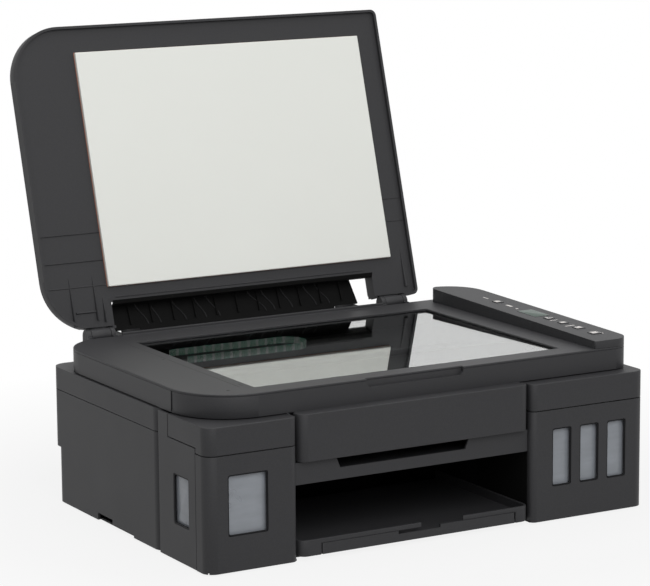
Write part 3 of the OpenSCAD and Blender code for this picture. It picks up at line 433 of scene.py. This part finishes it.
def finish(name):
    """The material of that name, made once."""
    if name not in FINISHES:
        c = colours()
        makers = {
            "casing": lambda: moulded("Charcoal grained plastic", c.casing),
            "lid_plastic": lambda: moulded("Lid plastic", shade(c.casing, 0.95), 0.56),
            # Painted shade: the scanner's plastic goes near black inside its case
            "scanner": lambda: plastic_with_painted_shade("Scanner plastic with painted shade", c.casing, shade_inside_scanner),
            # Painted shade: the right housing's plastic goes near black beside the paper output
            "housing": lambda: plastic_with_painted_shade("Right housing plastic with painted shade", c.casing, shade_beside_output),
            # Painted shade: the support is the casing's plastic, darkened near black for the open
            # lid's shadow
            "support": lambda: moulded("Support plastic in painted shade", (0.004, 0.004, 0.004), 0.7, 0.1),
            # Painted shade: the ribs are the casing's plastic, darkened for the open lid's shadow
            "rib": lambda: moulded("Rib plastic in painted shade", (0.016, 0.016, 0.017), 0.6, 0.2),
            "mark": lambda: smooth_plastic("Pale printed mark", (0.60, 0.57, 0.55), 0.5),
            "green": lambda: smooth_plastic("Green display", (0.008, 0.034, 0.021), 0.35),
            "backing": lambda: smooth_plastic("Pad backing", (0.30, 0.12, 0.08), 0.6),
            "dark": lambda: moulded("Black inner plastic", (0.007, 0.007, 0.008), 0.55, 0.15),
            "button": lambda: smooth_plastic("Button plastic", (0.02, 0.02, 0.022), 0.35),
            "display": lambda: smooth_plastic("Display window", (0.006, 0.012, 0.008), 0.12),
            "steel": lambda: rolled_steel("Zinc plated steel"),
            "rubber": lambda: rubber("Black rubber"),
            "tank": lambda: milky_tank("Milky tank plastic", c.tank),
            "glass": lambda: float_glass("Scanner glass"),
            "pad": lambda: white_film("Document pad film", c.pad),
            "cable": lambda: striped_film("Flat cable film"),
            "board": lambda: smooth_plastic("Circuit board", (0.015, 0.09, 0.04), 0.35),
        }
        FINISHES[name] = makers[name]()
    return FINISHES[name]


# ---------------------------------------------------------------- meshes


# Vertices this near in metres are one, and faces that bend less than FLAT are one
MERGE = 2e-6
FLAT = math.radians(0.5)
# Bends that belong to a curve, the largest face of a curve in square metres, the bend that is
# rounded on a softened node and the one that stays a crease on a new piece
CURVE = (math.radians(0.6), math.radians(25))
SMALL_FACE = 4e-4
ROUNDED = math.radians(30)
CREASE = math.radians(35)


def place(points):
    """Layout millimetres to metres in the frame: each point plus SHIFT, times a thousandth."""
    return (np.asarray(points, float) + np.array(SHIFT)) * MM


def add_mesh(name, points, faces, material):
    """A smooth object from points in layout millimetres."""
    mesh = bpy.data.meshes.new(name)
    mesh.from_pydata(place(points).tolist(), [], faces)
    mesh.materials.append(material)
    mesh.polygons.foreach_set("use_smooth", [True] * len(mesh.polygons))
    mesh.update()
    piece = bpy.data.objects.new(name, mesh)
    bpy.context.scene.collection.objects.link(piece)
    return piece


def keep(piece, body, slot, *nodes):
    """Rides a finished piece on its body, in place of its CAD nodes. Its slot is not used."""
    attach(piece, body)
    if nodes:
        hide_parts(*nodes)
    return piece


def outline(corners, inset, steps):
    """Loop round a polygon of (x, y, radius) corners, counter-clockwise, moved inwards by inset.
    Each corner is an arc of steps + 1 points; its radius shrinks or grows with the inset."""
    data = np.array(corners, float)
    xy, radius = data[:, :2], data[:, 2]
    after = np.roll(xy, -1, 0) - xy
    after /= np.linalg.norm(after, axis=1)[:, None]
    before = np.roll(after, 1, 0)
    turn = before[:, 0] * after[:, 1] - before[:, 1] * after[:, 0]
    angle = np.arctan2(turn, (before * after).sum(1))
    normal = np.stack([-before[:, 1], before[:, 0]], 1)
    along = np.tan(angle / 2)[:, None] * before
    vertex = xy + inset * (normal - along)
    bend = np.maximum(radius - np.sign(turn) * inset, 0.02)
    start = vertex - before * (bend * np.abs(np.tan(angle / 2)))[:, None]
    side = np.sign(angle)[:, None] * normal
    centre = start + side * bend[:, None]
    t = np.linspace(0, 1, steps + 1)[None, :] * angle[:, None]
    spoke = (start - centre)[:, None, :]
    cos, sin = np.cos(t)[..., None], np.sin(t)[..., None]
    turned = np.concatenate([spoke[..., :1] * cos - spoke[..., 1:] * sin,
                             spoke[..., :1] * sin + spoke[..., 1:] * cos], -1)
    return (centre[:, None, :] + turned).reshape(-1, 2)


def rectangle(x0, x1, y0, y1, radius=0.0):
    """The four corners of a rectangle, each (x, y, radius), counter-clockwise."""
    return [(x0, y0, radius), (x1, y0, radius), (x1, y1, radius), (x0, y1, radius)]


def loops_faces(count, around, closed):
    """Quads between successive loops of the same number of points."""
    rows = np.arange(count if closed else count - 1)
    cols = np.arange(around)
    a = rows[:, None] * around + cols
    b = rows[:, None] * around + (cols + 1) % around
    up = ((rows + 1) % count)[:, None] * around
    quads = np.stack([a, b, up + (cols + 1) % around, up + cols], -1)
    return quads.reshape(-1, 4).tolist()


def shell(name, loops, material, closed=False):
    """A surface through loops of points: a ring where closed, else with its ends capped."""
    count, around = len(loops), len(loops[0])
    faces = loops_faces(count, around, closed)
    if not closed:
        faces.append(list(range(around - 1, -1, -1)))
        faces.append(list(range((count - 1) * around, count * around)))
    return add_mesh(name, np.concatenate(loops), faces, material)


def level(corners, inset, z, steps):
    """An outline at one height."""
    flat = outline(corners, inset, steps)
    return np.column_stack([flat, np.full(len(flat), z)])


def stack(name, corners, profile, material, closed=False, steps=8):
    """A profile of (inset, z) points carried round an outline."""
    return shell(name, [level(corners, i, z, steps) for i, z in profile], material, closed)


def opened(points):
    """Turns points of the closed lid by LID_ANGLE about the hinge line, to its open rest place."""
    p = np.asarray(points, float)
    y, z = p[:, 1] - HINGE_Y, p[:, 2] - HINGE_Z
    c, s = math.cos(LID_ANGLE), math.sin(LID_ANGLE)
    return np.column_stack([p[:, 0], HINGE_Y + y * c - z * s, HINGE_Z + y * s + z * c])


def bar(name, path, across, out, width, height, material):
    """A rounded bar along a path: its section is half an ellipse, width across and height out,
    both one number or one per point; its flat side is sunk a little into what it stands on.
    Path, across and out are right-handed, so that its faces point outwards."""
    steps, sunk = 8, 0.3
    path = np.asarray(path, float)
    across, out = np.asarray(across, float), np.asarray(out, float)
    turn = np.radians(np.linspace(0, 180, steps + 1))
    side = np.concatenate([[0.5], 0.5 * np.cos(turn), [-0.5]])
    rise = np.concatenate([[0.0], np.sin(turn), [0.0]])
    sink = np.concatenate([[-sunk], np.zeros(steps + 1), [-sunk]])
    width = np.broadcast_to(width, len(path))
    height = np.broadcast_to(height, len(path))
    loops = [p + np.outer(side * w, across) + np.outer(rise * h + sink, out)
             for p, w, h in zip(path, width, height)]
    return shell(name, loops, material)


def plate(name, corners, low, high, material, edge):
    """A flat plate with a rounded upper edge, from an outline of rounded corners."""
    profile = [(0.0, low), (0.0, high - edge), (edge * 0.3, high - edge * 0.3), (edge, high)]
    return stack(name, corners, profile, material, steps=4)


def joined(name, pieces):
    """One object from several, kept in the first one's mesh."""
    work = bmesh.new()
    for piece in pieces:
        work.from_mesh(piece.data)
    mesh = pieces[0].data
    work.to_mesh(mesh)
    work.free()
    for piece in pieces[1:]:
        bpy.data.objects.remove(piece)
    pieces[0].name = name
    mesh.name = name
    return pieces[0]


def move_mesh(piece, function):
    """Sends every vertex, in layout millimetres, through a function of points."""
    count = len(piece.data.vertices)
    flat = np.empty(count * 3)
    piece.data.vertices.foreach_get("co", flat)
    points = flat.reshape(-1, 3) / MM - np.array(SHIFT)
    piece.data.vertices.foreach_set("co", place(function(points)).ravel())
    piece.data.update()
    return piece


def on_panel(points):
    """Turns points of (x, length up the slope, height) to the operation panel's slope."""
    p = np.asarray(points, float)
    foot = box("operation_panel")[0]
    c, s = math.cos(PANEL_TILT), math.sin(PANEL_TILT)
    return np.column_stack([
        p[:, 0], foot.y + p[:, 1] * c - p[:, 2] * s,
        foot.z + PANEL_FRONT + p[:, 1] * s + p[:, 2] * c])


def on_left_side(points):
    """Turns points of (z, y, height) to the left side of the case."""
    return np.column_stack([-CASE_LEFT - points[:, 2], points[:, 1], points[:, 0]])


def on_front(points):
    """Turns points of (x, z, height) to the front of the tank housings."""
    return np.column_stack([points[:, 0], -points[:, 2], points[:, 1]])


def sharp_normals(piece):
    """Smooth shading that stops at edges that bend by more than CREASE."""
    mesh = piece.data
    work = bmesh.new()
    work.from_mesh(mesh)
    for edge in work.edges:
        edge.smooth = len(edge.link_faces) == 2 and edge.calc_face_angle(0) < CREASE
    work.to_mesh(mesh)
    work.free()
    return piece


def softened(node, material, width):
    """A copy of a CAD node's mesh, merged, with its edges rounded by width. Only small faces
    that carry on in a curve are shaded smooth."""
    source = frame["nodes"][node]
    mesh = source.data.copy()
    mesh.name = node + "_moulding"
    work = bmesh.new()
    work.from_mesh(mesh)
    bmesh.ops.remove_doubles(work, verts=work.verts, dist=MERGE)
    bmesh.ops.dissolve_limit(work, angle_limit=FLAT, verts=work.verts, edges=work.edges)
    for face in work.faces:
        bends = [edge.calc_face_angle(0) for edge in face.edges]
        curved = any(CURVE[0] < bend < CURVE[1] for bend in bends)
        face.smooth = curved and face.calc_area() < SMALL_FACE
    work.to_mesh(mesh)
    work.free()
    mesh.materials.clear()
    mesh.materials.append(material)
    piece = bpy.data.objects.new(mesh.name, mesh)
    bpy.context.scene.collection.objects.link(piece)
    bevel = piece.modifiers.new("Rounded edges", "BEVEL")
    bevel.width = width
    bevel.segments = 2
    bevel.limit_method = "ANGLE"
    bevel.angle_limit = ROUNDED
    bevel.use_clamp_overlap = True
    return piece


def soften_all(body, slot, material, width, nodes):
    """Each node's softened copy, in its place."""
    for node in nodes:
        keep(softened(node, finish(material), width), body, slot, node)


def dress(material, *nodes):
    """Gives carried-over CAD nodes their finish."""
    for node in nodes:
        piece = frame["nodes"][node]
        piece.data.materials.clear()
        piece.data.materials.append(finish(material))


# ---------------------------------------------------------------- operators


class PRINTER_OT_case(bpy.types.Operator):
    """Side panels, ledge cover, rear cover, base and feet"""

    bl_idname = "printer.case"
    bl_label = "Case"

    def execute(self, context):
        soften_all("printer_body", "casing", "casing", sizes().edge,
                   ["left_side_panel", "right_side_panel", "rear_cover", "top_cover"])
        soften_all("printer_body", "dark_plastic", "dark", sizes().small_edge, ["base_tray"])
        dress("rubber", "rubber_feet")
        return {"FINISHED"}


class PRINTER_OT_tank_housings(bpy.types.Operator):
    """Tank housings, their covers, the ink tanks and caps"""

    bl_idname = "printer.tank_housings"
    bl_label = "Tank housings"

    # Middle in x and width of each front window, and the z span of them all
    FRONT_WINDOWS = [(BLACK_X, 37.5), *[(COLOUR_X + i * COLOUR_PITCH, 20.0) for i in (-1, 0, 1)]]
    FRONT_Z = (31.5, 83.5)
    # z and y spans of the side window
    SIDE_WINDOW = (33.0, 76.0, 32.0, 59.0)
    # Inset and height of a rim's section, and the radius of its corners
    RIM = [(-0.25, -1.6), (-0.25, -0.5), (0.9, -0.5), (1.3, -0.9), (1.3, -1.6)]
    RIM_RADIUS = 3.2
    # Heights of the back and the front of the tank's face in the side window, and its overlap
    FACE = (-3.4, -2.6)
    FACE_LAP = 0.5

    def execute(self, context):
        soften_all("printer_body", "casing", "casing", sizes().edge, [
            "left_front_bezel", "left_side_bezel", "left_tank_cover", "right_tank_cover"])
        # The right housing's side by the paper output is painted near black as shade
        soften_all("printer_body", "casing", "housing", sizes().edge, ["right_tank_bezel"])
        soften_all("printer_body", "tank", "tank", sizes().edge, [
            "black_ink_tank", "cyan_ink_tank", "magenta_ink_tank", "yellow_ink_tank"])
        dress("rubber", "tank_caps")
        dress("dark", "ink_tubes")
        self.rims()
        self.side_face()
        return {"FINISHED"}

    def rims(self):
        """A rim in each window, near black as painted recess shade: square outside, rounded inside,
        set back from the wall.
        """
        rims = []
        for x, width in self.FRONT_WINDOWS:
            rims.append(move_mesh(self.rim(x - width / 2, x + width / 2, *self.FRONT_Z), on_front))
        rims.append(move_mesh(self.rim(*self.SIDE_WINDOW), on_left_side))
        keep(joined("window_rims_painted_shade", rims), "printer_body", "casing")

    def rim(self, a0, a1, b0, b1):
        """One rim, lying flat: its section carried round the window."""
        corners = rectangle(a0, a1, b0, b1, self.RIM_RADIUS)
        # The rim's near-black finish paints the shade in the window's recess
        return stack("rim", corners, self.RIM, finish("dark"), closed=True)

    def side_face(self):
        """The black tank's face behind the side window."""
        z0, z1, y0, y1 = self.SIDE_WINDOW
        lap = self.FACE_LAP
        corners = rectangle(z0 - lap, z1 + lap, y0 - lap, y1 + lap, 1.0)
        face = plate("tank_side_face", corners, *self.FACE, finish("tank"), 0.1)
        keep(move_mesh(face, on_left_side), "printer_body", "tank")


class PRINTER_OT_front(bpy.types.Operator):
    """Front panel, output opening and trays"""

    bl_idname = "printer.front"
    bl_label = "Front and trays"

    def execute(self, context):
        for body, node in [
                ("scanner_unit", "front_panel"), ("printer_body", "output_bezel"),
                ("output_tray", "output_tray"), ("tray_extension", "tray_extension")]:
            soften_all(body, "casing", "casing", sizes().edge, [node])
        return {"FINISHED"}


class PRINTER_OT_scanner(bpy.types.Operator):
    """Scanner housing, its frame, glass and sensor"""

    bl_idname = "printer.scanner"
    bl_label = "Scanner"

    # x and y spans of the fine lines and ticks on the frame
    MARKS = [
        (-168.4, -168.0, 42.0, 256.0), (-164.0, -162.0, 80.0, 81.0), (-164.0, -162.0, 83.0, 84.0),
        (-164.0, -162.0, 47.0, 48.5), (-164.0, -162.0, 51.0, 52.5), (-184.0, -181.6, 34.0, 36.4),
        (-172.0, -170.0, 176.0, 177.0),
    ]
    # Depth of the frame's face under its rim, and how far a mark sinks in it and stands out
    FACE_DEPTH = 2.9
    MARK_SUNK, MARK_PROUD = 0.2, 0.03
    # x and y spans and z span of the seam on the scanner's left side
    SEAM = (-220.0, -219.44, 65.6, 66.2)
    SEAM_Z = (127.0, 143.9)

    def execute(self, context):
        # The scanner case's inside is painted near black as shade
        soften_all("scanner_unit", "casing", "scanner", sizes().edge,
                   ["scanner_case", "scanner_frame"])
        dress("glass", "platen_glass")
        dress("cable", "ribbon_cable")
        soften_all("image_sensor", "dark_plastic", "dark", sizes().small_edge, ["image_sensor"])
        face = box("scanner_frame")[1].z - self.FACE_DEPTH
        low, high = face - self.MARK_SUNK, face + self.MARK_PROUD
        spans = [(mark, low, high) for mark in self.MARKS] + [(self.SEAM, *self.SEAM_Z)]
        lines = [plate("mark", rectangle(*span), z0, z1, finish("dark"), 0.01)
                 for span, z0, z1 in spans]
        keep(joined("frame_marks", lines), "scanner_unit", "casing")
        return {"FINISHED"}


class PRINTER_OT_operation_panel(bpy.types.Operator):
    """Sloping operation panel with its display and buttons"""

    bl_idname = "printer.operation_panel"
    bl_label = "Operation panel"

    BUTTONS = ["power_button", "menu_button", "stop_button", "black_button", "colour_button"]
    # Edge radius of a button, in metres
    BUTTON_EDGE = 0.0004
    # Body, height above the panel, and the middle, width and length of each printed mark
    MARKS = [
        ("scanner_unit", 0.0, [(192.0, 207.0, 1.2, 9.0), (191.4, 166.0, 3.0, 9.0),
                               (190.4, 151.5, 2.4, 2.4), (190.2, 65.6, 10.0, 1.8),
                               (191.0, 92.5, 8.0, 1.2), (197.8, 29.6, 1.6, 10.0)]),
        ("power_button", 0.6, [(191.4, 186.2, 5.2, 5.0)]),
        ("menu_button", 0.6, [(190.0, 101.5, 1.6, 5.6), (192.6, 99.6, 4.6, 1.6)]),
        ("stop_button", 0.6, [(191.6, 79.0, 5.0, 4.6)]),
        ("black_button", 0.6, [(191.6, 54.4, 6.0, 5.0)]),
        ("colour_button", 0.6, [(191.4, 29.6, 6.4, 6.0)]),
    ]
    MARK_RADIUS = 0.4
    MARK_SUNK, MARK_PROUD = 0.2, 0.06
    # Margin of the display's face in its window, its span up the slope, and its two heights
    DISPLAY_MARGIN = 0.6
    DISPLAY_SPAN = (112.6, 141.4)
    DISPLAY_HEIGHTS = (0.15, 0.26)

    def execute(self, context):
        soften_all("scanner_unit", "casing", "casing", sizes().edge, ["operation_panel"])
        dress("display", "display_window")
        for node in self.BUTTONS:
            soften_all(node, "button_plastic", "button", self.BUTTON_EDGE, [node])
        for body, height, spans in self.MARKS:
            marks = [self.mark(height, *span) for span in spans]
            slot = "casing" if body == "scanner_unit" else "button_plastic"
            keep(joined(body + "_marks", marks), body, slot)
        low, high = box("display_window")
        corners = rectangle(
            low.x + self.DISPLAY_MARGIN, high.x - self.DISPLAY_MARGIN, *self.DISPLAY_SPAN, 1.0)
        face = plate("display_face", corners, *self.DISPLAY_HEIGHTS, finish("green"), 0.05)
        keep(move_mesh(face, on_panel), "scanner_unit", "display")
        return {"FINISHED"}

    def mark(self, height, x, length_up, width, length):
        """One printed mark: a thin plate about (x, length up the slope), at a height."""
        corners = rectangle(x - width / 2, x + width / 2, length_up - length / 2,
                            length_up + length / 2, self.MARK_RADIUS)
        low, high = height - self.MARK_SUNK, height + self.MARK_PROUD
        return move_mesh(plate("mark", corners, low, high, finish("mark"), 0.02), on_panel)


class PRINTER_OT_lid(bpy.types.Operator):
    """Scanner lid: shell, liner, document pad and hinges"""

    bl_idname = "printer.lid"
    bl_label = "Lid"

    # How far the pad's backing shows past it at the low and at the high end of each span, and
    # its heights over the liner's face
    BACKING_LAP = (0.5, 0.2)
    BACKING = (-0.5, 0.2)
    # From x, to x, distance from the hinge, width and height
    RIDGES = [
        (-216.9, -157.5, 94.0, 1.2, 0.9), (-216.9, -157.5, 68.5, 1.2, 0.9),
        (-215.0, -157.5, 45.5, 1.2, 0.5), (-191.0, -169.5, 22.0, 2.0, 1.2),
        (145.0, 165.4, 100.0, 1.0, 0.5), (145.0, 165.4, 78.0, 1.0, 0.5),
        (-150.0, 112.0, 33.5, 1.4, 0.5),
    ]
    # x, far and near distance from the hinge, width and height
    FINS = [
        (-194.0, 54.0, 9.0, 2.6, 3.2), (-170.5, 55.0, 14.0, 2.6, 3.2),
        (-163.0, 34.0, 12.0, 2.4, 3.2), (157.0, 50.0, 14.0, 3.6, 3.0),
    ]
    # y and z of the seal that hangs from the open lid's notch over the paper support, its
    # thickness and its gap to the sides of the notch
    SEAL = [(310.2, 174.4), (310.6, 171.4), (312.2, 169.9), (315.0, 169.2), (319.5, 168.2),
            (324.6, 167.0)]
    SEAL_THICK = 0.7
    SEAL_GAP = 0.3

    def execute(self, context):
        soften_all("scanner_lid", "casing", "lid_plastic", sizes().edge, ["lid_shell", "lid_liner"])
        pad = softened("document_pad", finish("pad"), sizes().edge)
        keep(pad, "scanner_lid", "pad", "document_pad")
        self.backing()
        self.relief()
        self.seal()
        soften_all("scanner_lid", "dark_plastic", "casing", sizes().small_edge, ["lid_hinges"])
        return {"FINISHED"}

    def backing(self):
        """The edge of the pad's backing, round the pad on the liner."""
        x0, x1, y0, y1 = PAD
        low, high = self.BACKING_LAP
        corners = rectangle(x0 - low, x1 + high, y0 - low, y1 + high, 1.0)
        heights = [LINER_Z + height for height in self.BACKING]
        backing = plate("pad_backing", corners, *heights, finish("backing"), 0.1)
        keep(move_mesh(backing, opened), "scanner_lid", "pad")

    def relief(self):
        """Ridges along x, and fins towards the hinge: along a fin its width grows from a quarter
        to the whole, and its height from almost nothing, both in a straight line."""
        material = finish("lid_plastic")
        down, forward, across = (0, 0, -1), (0, -1, 0), (1, 0, 0)
        pieces = []
        for x0, x1, r, width, height in self.RIDGES:
            path = [(x, HINGE_Y - r, LINER_Z) for x in (x0, x1)]
            pieces.append(bar("ridge", path, forward, down, width, height, material))
        for x, far, near, width, height in self.FINS:
            t = np.linspace(0, 1, 9)
            path = np.column_stack([np.full(9, x), HINGE_Y - far + (far - near) * t,
                                    np.full(9, LINER_Z)])
            pieces.append(bar("fin", path, across, down, width * (0.25 + 0.75 * t),
                              height * (0.06 + 0.94 * t), material))
        relief = move_mesh(joined("lid_relief", pieces), opened)
        keep(sharp_normals(relief), "scanner_lid", "casing")

    def seal(self):
        """A strip along x: its section is the curve SEAL, there and back at its thickness."""
        curve = np.array(self.SEAL)
        section = np.concatenate([curve, curve[::-1] + np.array([0.0, self.SEAL_THICK])])
        ends = [np.column_stack([np.full(len(section), x), section])
                for x in (NOTCH_X0 + self.SEAL_GAP, NOTCH_X1 - self.SEAL_GAP)]
        # The seal's near-black colour is the support's painted shade
        keep(sharp_normals(shell("notch_seal", ends, finish("support"))), "scanner_lid", "casing")


class PRINTER_OT_rear_feed(bpy.types.Operator):
    """Paper support, its extension, guides, back plate and slot cover"""

    bl_idname = "printer.rear_feed"
    bl_label = "Rear feed"

    # How far the ribs start before and below the head's rear top corner, and the z of their feet
    RIB_TOP = (2.6, 0.4)
    FOOT_Z = 147.5
    RIB_WIDTH, RIB_HEIGHT = 1.5, 1.2
    # x at the head of each rib and at its foot
    RIBS = [
        (-125.0, -114.9), (-110.1, -102.0), (-87.0, -75.5), (-63.7, -54.6), (-51.1, -40.2),
        (-7.1, 8.6), (7.4, 18.2), (27.9, 37.3), (52.9, 63.1), (65.5, 77.8),
    ]
    # x span of each skirt under the ends of the head, and their width and height; the skirts are
    # near-black sheets of painted shade over the slits there
    SKIRTS = [(-143.5, -124.0), (83.0, 102.5)]
    SKIRT_WIDTH, SKIRT_HEIGHT = 8.6, 0.25

    def execute(self, context):
        small = sizes().small_edge
        soften_all("printer_body", "dark_plastic", "dark", small, ["rear_tray"])
        for node in ["left_paper_guide", "right_paper_guide", "support_extension",
                     "feed_slot_cover"]:
            soften_all(node, "casing", "casing", small, [node])
        # The support's near-black finish is painted shade
        soften_all("paper_support", "casing", "support", small, ["paper_support"])
        self.ribs()
        return {"FINISHED"}

    def ribs(self):
        """Ribs down the support's head, each an S-curve: x follows half a cosine. Under the
        head's ends, skirts along x."""
        rear_top = box("paper_support")[1]
        t = np.linspace(0, 1, 17)
        ease = (1 - np.cos(np.pi * t)) / 2
        top = np.array([rear_top.y - self.RIB_TOP[0], rear_top.z - self.RIB_TOP[1]])
        foot = top - (top[1] - self.FOOT_Z) * np.array([math.tan(LEAN), 1.0])
        upward, outward = (0, math.sin(LEAN), math.cos(LEAN)), (0, -math.cos(LEAN), math.sin(LEAN))
        pieces = []
        for x0, x1 in self.RIBS:
            path = np.column_stack([x0 + (x1 - x0) * ease, top[0] + (foot[0] - top[0]) * t,
                                    top[1] + (foot[1] - top[1]) * t])
            # Each rib's darkened colour is painted shade
            pieces.append(bar("rib", path, (1, 0, 0), outward,
                              self.RIB_WIDTH, self.RIB_HEIGHT, finish("rib")))
        for span in self.SKIRTS:
            path = [(x, *HEAD_FOOT) for x in span]
            # Each skirt is a near-black sheet of painted shade
            pieces.append(bar("skirt", path, upward, outward,
                              self.SKIRT_WIDTH, self.SKIRT_HEIGHT, finish("support")))
        keep(joined("support_ribs", pieces), "paper_support", "casing")


class PRINTER_OT_mechanism(bpy.types.Operator):
    """Chassis, carriage, rollers, motors, boards and the rest inside"""

    bl_idname = "printer.mechanism"
    bl_label = "Mechanism"

    def execute(self, context):
        dress("steel", "chassis", "drive_pulley", "idler_pulley", "feed_roller", "eject_roller",
              "star_wheels")
        dress("rubber", "carriage_belt", "feed_belt", "pickup_roller")
        dress("dark", "drive_motors", "platen", "carriage", "print_heads", "pinch_rollers",
              "purge_unit", "power_supply")
        dress("board", "main_board")
        return {"FINISHED"}


# ---------------------------------------------------------------- stage

# Where the camera looks from, in radians, and its focal length in pixels of a picture
# IMAGE_WIDTH wide
AZIMUTH = math.radians(29.912)
ELEVATION = math.radians(10.392)
ROLL = math.radians(-0.411)
FOCAL_PIXELS = 2842.4
IMAGE_WIDTH = 650
SENSOR_MM = 36.0
# The point that the camera looks at and its distance, in layout millimetres
TARGET = (-15.153, 165.0, 190.816)
DISTANCE = 2528.35
# Half the floor's side in metres, the y of its middle, how white it is under the object, and
# the distances in millimetres from its middle where it starts and ends turning white
FLOOR_HALF = 6.0
MIDDLE = 150.0
FLOOR_WHITE = 0.86
FLOOR_FADE = (300.0, 650.0)
# Strength of the world as a lamp
WORLD_LIGHT = 0.40
# Name, place and side in metres, and power in watts of each area light
LAMPS = [
    ("Key", (-0.5, -2.1, 1.6), 1.6, 34),
    ("Fill", (1.7, -1.2, 1.3), 1.8, 3),
    ("Top", (0.0, 0.2, 2.3), 2.0, 24),
]
# Height in metres that they face
LIT_HEIGHT = 0.15


class PRINTER_OT_stage(bpy.types.Operator):
    """Camera, lights, floor and backdrop"""

    bl_idname = "printer.stage"
    bl_label = "Stage"

    def execute(self, context):
        scene = context.scene
        scene.view_settings.view_transform = "Standard"
        self.camera(scene)
        self.floor(scene)
        self.world(scene)
        for name, where, side, power in LAMPS:
            self.lamp(scene, name, where, side, power)
        return {"FINISHED"}

    def camera(self, scene):
        """A camera at DISTANCE from its target, turned by azimuth, elevation and roll."""
        forward = Vector((math.sin(AZIMUTH) * math.cos(ELEVATION),
                          math.cos(AZIMUTH) * math.cos(ELEVATION), -math.sin(ELEVATION)))
        level_right = Vector((math.cos(AZIMUTH), -math.sin(AZIMUTH), 0.0))
        level_up = level_right.cross(forward)
        right = level_right * math.cos(ROLL) + level_up * math.sin(ROLL)
        up = level_up * math.cos(ROLL) - level_right * math.sin(ROLL)
        where = (Vector(TARGET) + SHIFT - forward * DISTANCE) * MM
        lens = bpy.data.cameras.new("Camera")
        lens.sensor_width = SENSOR_MM
        lens.lens = FOCAL_PIXELS / IMAGE_WIDTH * SENSOR_MM
        lens.clip_end = 20.0
        camera = bpy.data.objects.new("Camera", lens)
        camera.matrix_world = Matrix((
            (right.x, up.x, -forward.x, where.x),
            (right.y, up.y, -forward.y, where.y),
            (right.z, up.z, -forward.z, where.z),
            (0, 0, 0, 1)))
        scene.collection.objects.link(camera)
        scene.camera = camera

    def lamp(self, scene, name, where, side, power):
        """A square area light that faces the middle of the object."""
        light = bpy.data.lights.new(name, "AREA")
        light.size = side
        light.energy = power
        lamp = bpy.data.objects.new(name, light)
        lamp.location = where
        aim = Vector((0, 0, LIT_HEIGHT)) - Vector(where)
        lamp.rotation_euler = aim.to_track_quat("-Z", "Y").to_euler()
        scene.collection.objects.link(lamp)

    def world(self, scene):
        """White to the eye and in reflections, and a softer white as a lamp."""
        world = bpy.data.worlds.new("Studio")
        scene.world = world
        world.use_nodes = True
        nodes = Nodes(world.node_tree)
        lamp, seen = [nodes.add("ShaderNodeBackground", {}, {"Color": WHITE, "Strength": power})
                      for power in (WORLD_LIGHT, 1.0)]
        mixed = nodes.add("ShaderNodeMixShader", {}, {0: nodes.seen(), 1: lamp, 2: seen})
        nodes.add("ShaderNodeOutputWorld", {}, {"Surface": mixed})

    def floor(self, scene):
        """A pale floor that turns white away from the object and keeps its soft shadow."""
        look = Look("Pale floor", Roughness=0.9, IOR=1.3)
        look.set(Base_Color=tuple(colours().floor))
        x, y, z = look.axes()
        away = ((x * x + (y - MIDDLE) * (y - MIDDLE)) ** 0.5).ramp(*FLOOR_FADE)
        look.glow(look.seen() * (away * (1 - FLOOR_WHITE) + FLOOR_WHITE))
        half = FLOOR_HALF
        mesh = bpy.data.meshes.new("Floor")
        mesh.from_pydata([(-half, -half, 0), (half, -half, 0), (half, half, 0), (-half, half, 0)],
                         [], [(0, 1, 2, 3)])
        mesh.materials.append(look.material)
        floor = bpy.data.objects.new("Floor", mesh)
        scene.collection.objects.link(floor)


OPERATORS = [
    PRINTER_OT_stage, PRINTER_OT_case, PRINTER_OT_tank_housings, PRINTER_OT_front,
    PRINTER_OT_scanner, PRINTER_OT_operation_panel, PRINTER_OT_lid, PRINTER_OT_rear_feed,
    PRINTER_OT_mechanism,
]


class PRINTER_PT_panel(bpy.types.Panel):
    """Lists the printer's settings and its groups of pieces"""

    bl_label = "Printer"
    bl_idname = "PRINTER_PT_panel"
    bl_space_type = "VIEW_3D"
    bl_region_type = "UI"
    bl_category = "Printer"

    def draw(self, context):
        for group in (context.scene.printer_sizes, context.scene.printer_colours):
            for name in group.bl_rna.properties.keys():
                if name not in ("rna_type", "name"):
                    self.layout.prop(group, name)
        for operator in OPERATORS:
            self.layout.operator(operator.bl_idname)


CLASSES = [PrinterSizes, PrinterColours, *OPERATORS, PRINTER_PT_panel]


def register():
    for cls in CLASSES:
        bpy.utils.register_class(cls)
    bpy.types.Scene.printer_sizes = bpy.props.PointerProperty(type=PrinterSizes)
    bpy.types.Scene.printer_colours = bpy.props.PointerProperty(type=PrinterColours)


def unregister():
    del bpy.types.Scene.printer_colours
    del bpy.types.Scene.printer_sizes
    for cls in reversed(CLASSES):
        bpy.utils.unregister_class(cls)


def main():
    """Registers the add-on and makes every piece."""
    register()
    for operator in OPERATORS:
        group, name = operator.bl_idname.split(".")
        getattr(getattr(bpy.ops, group), name)()


if __name__ == "__main__":
    main()
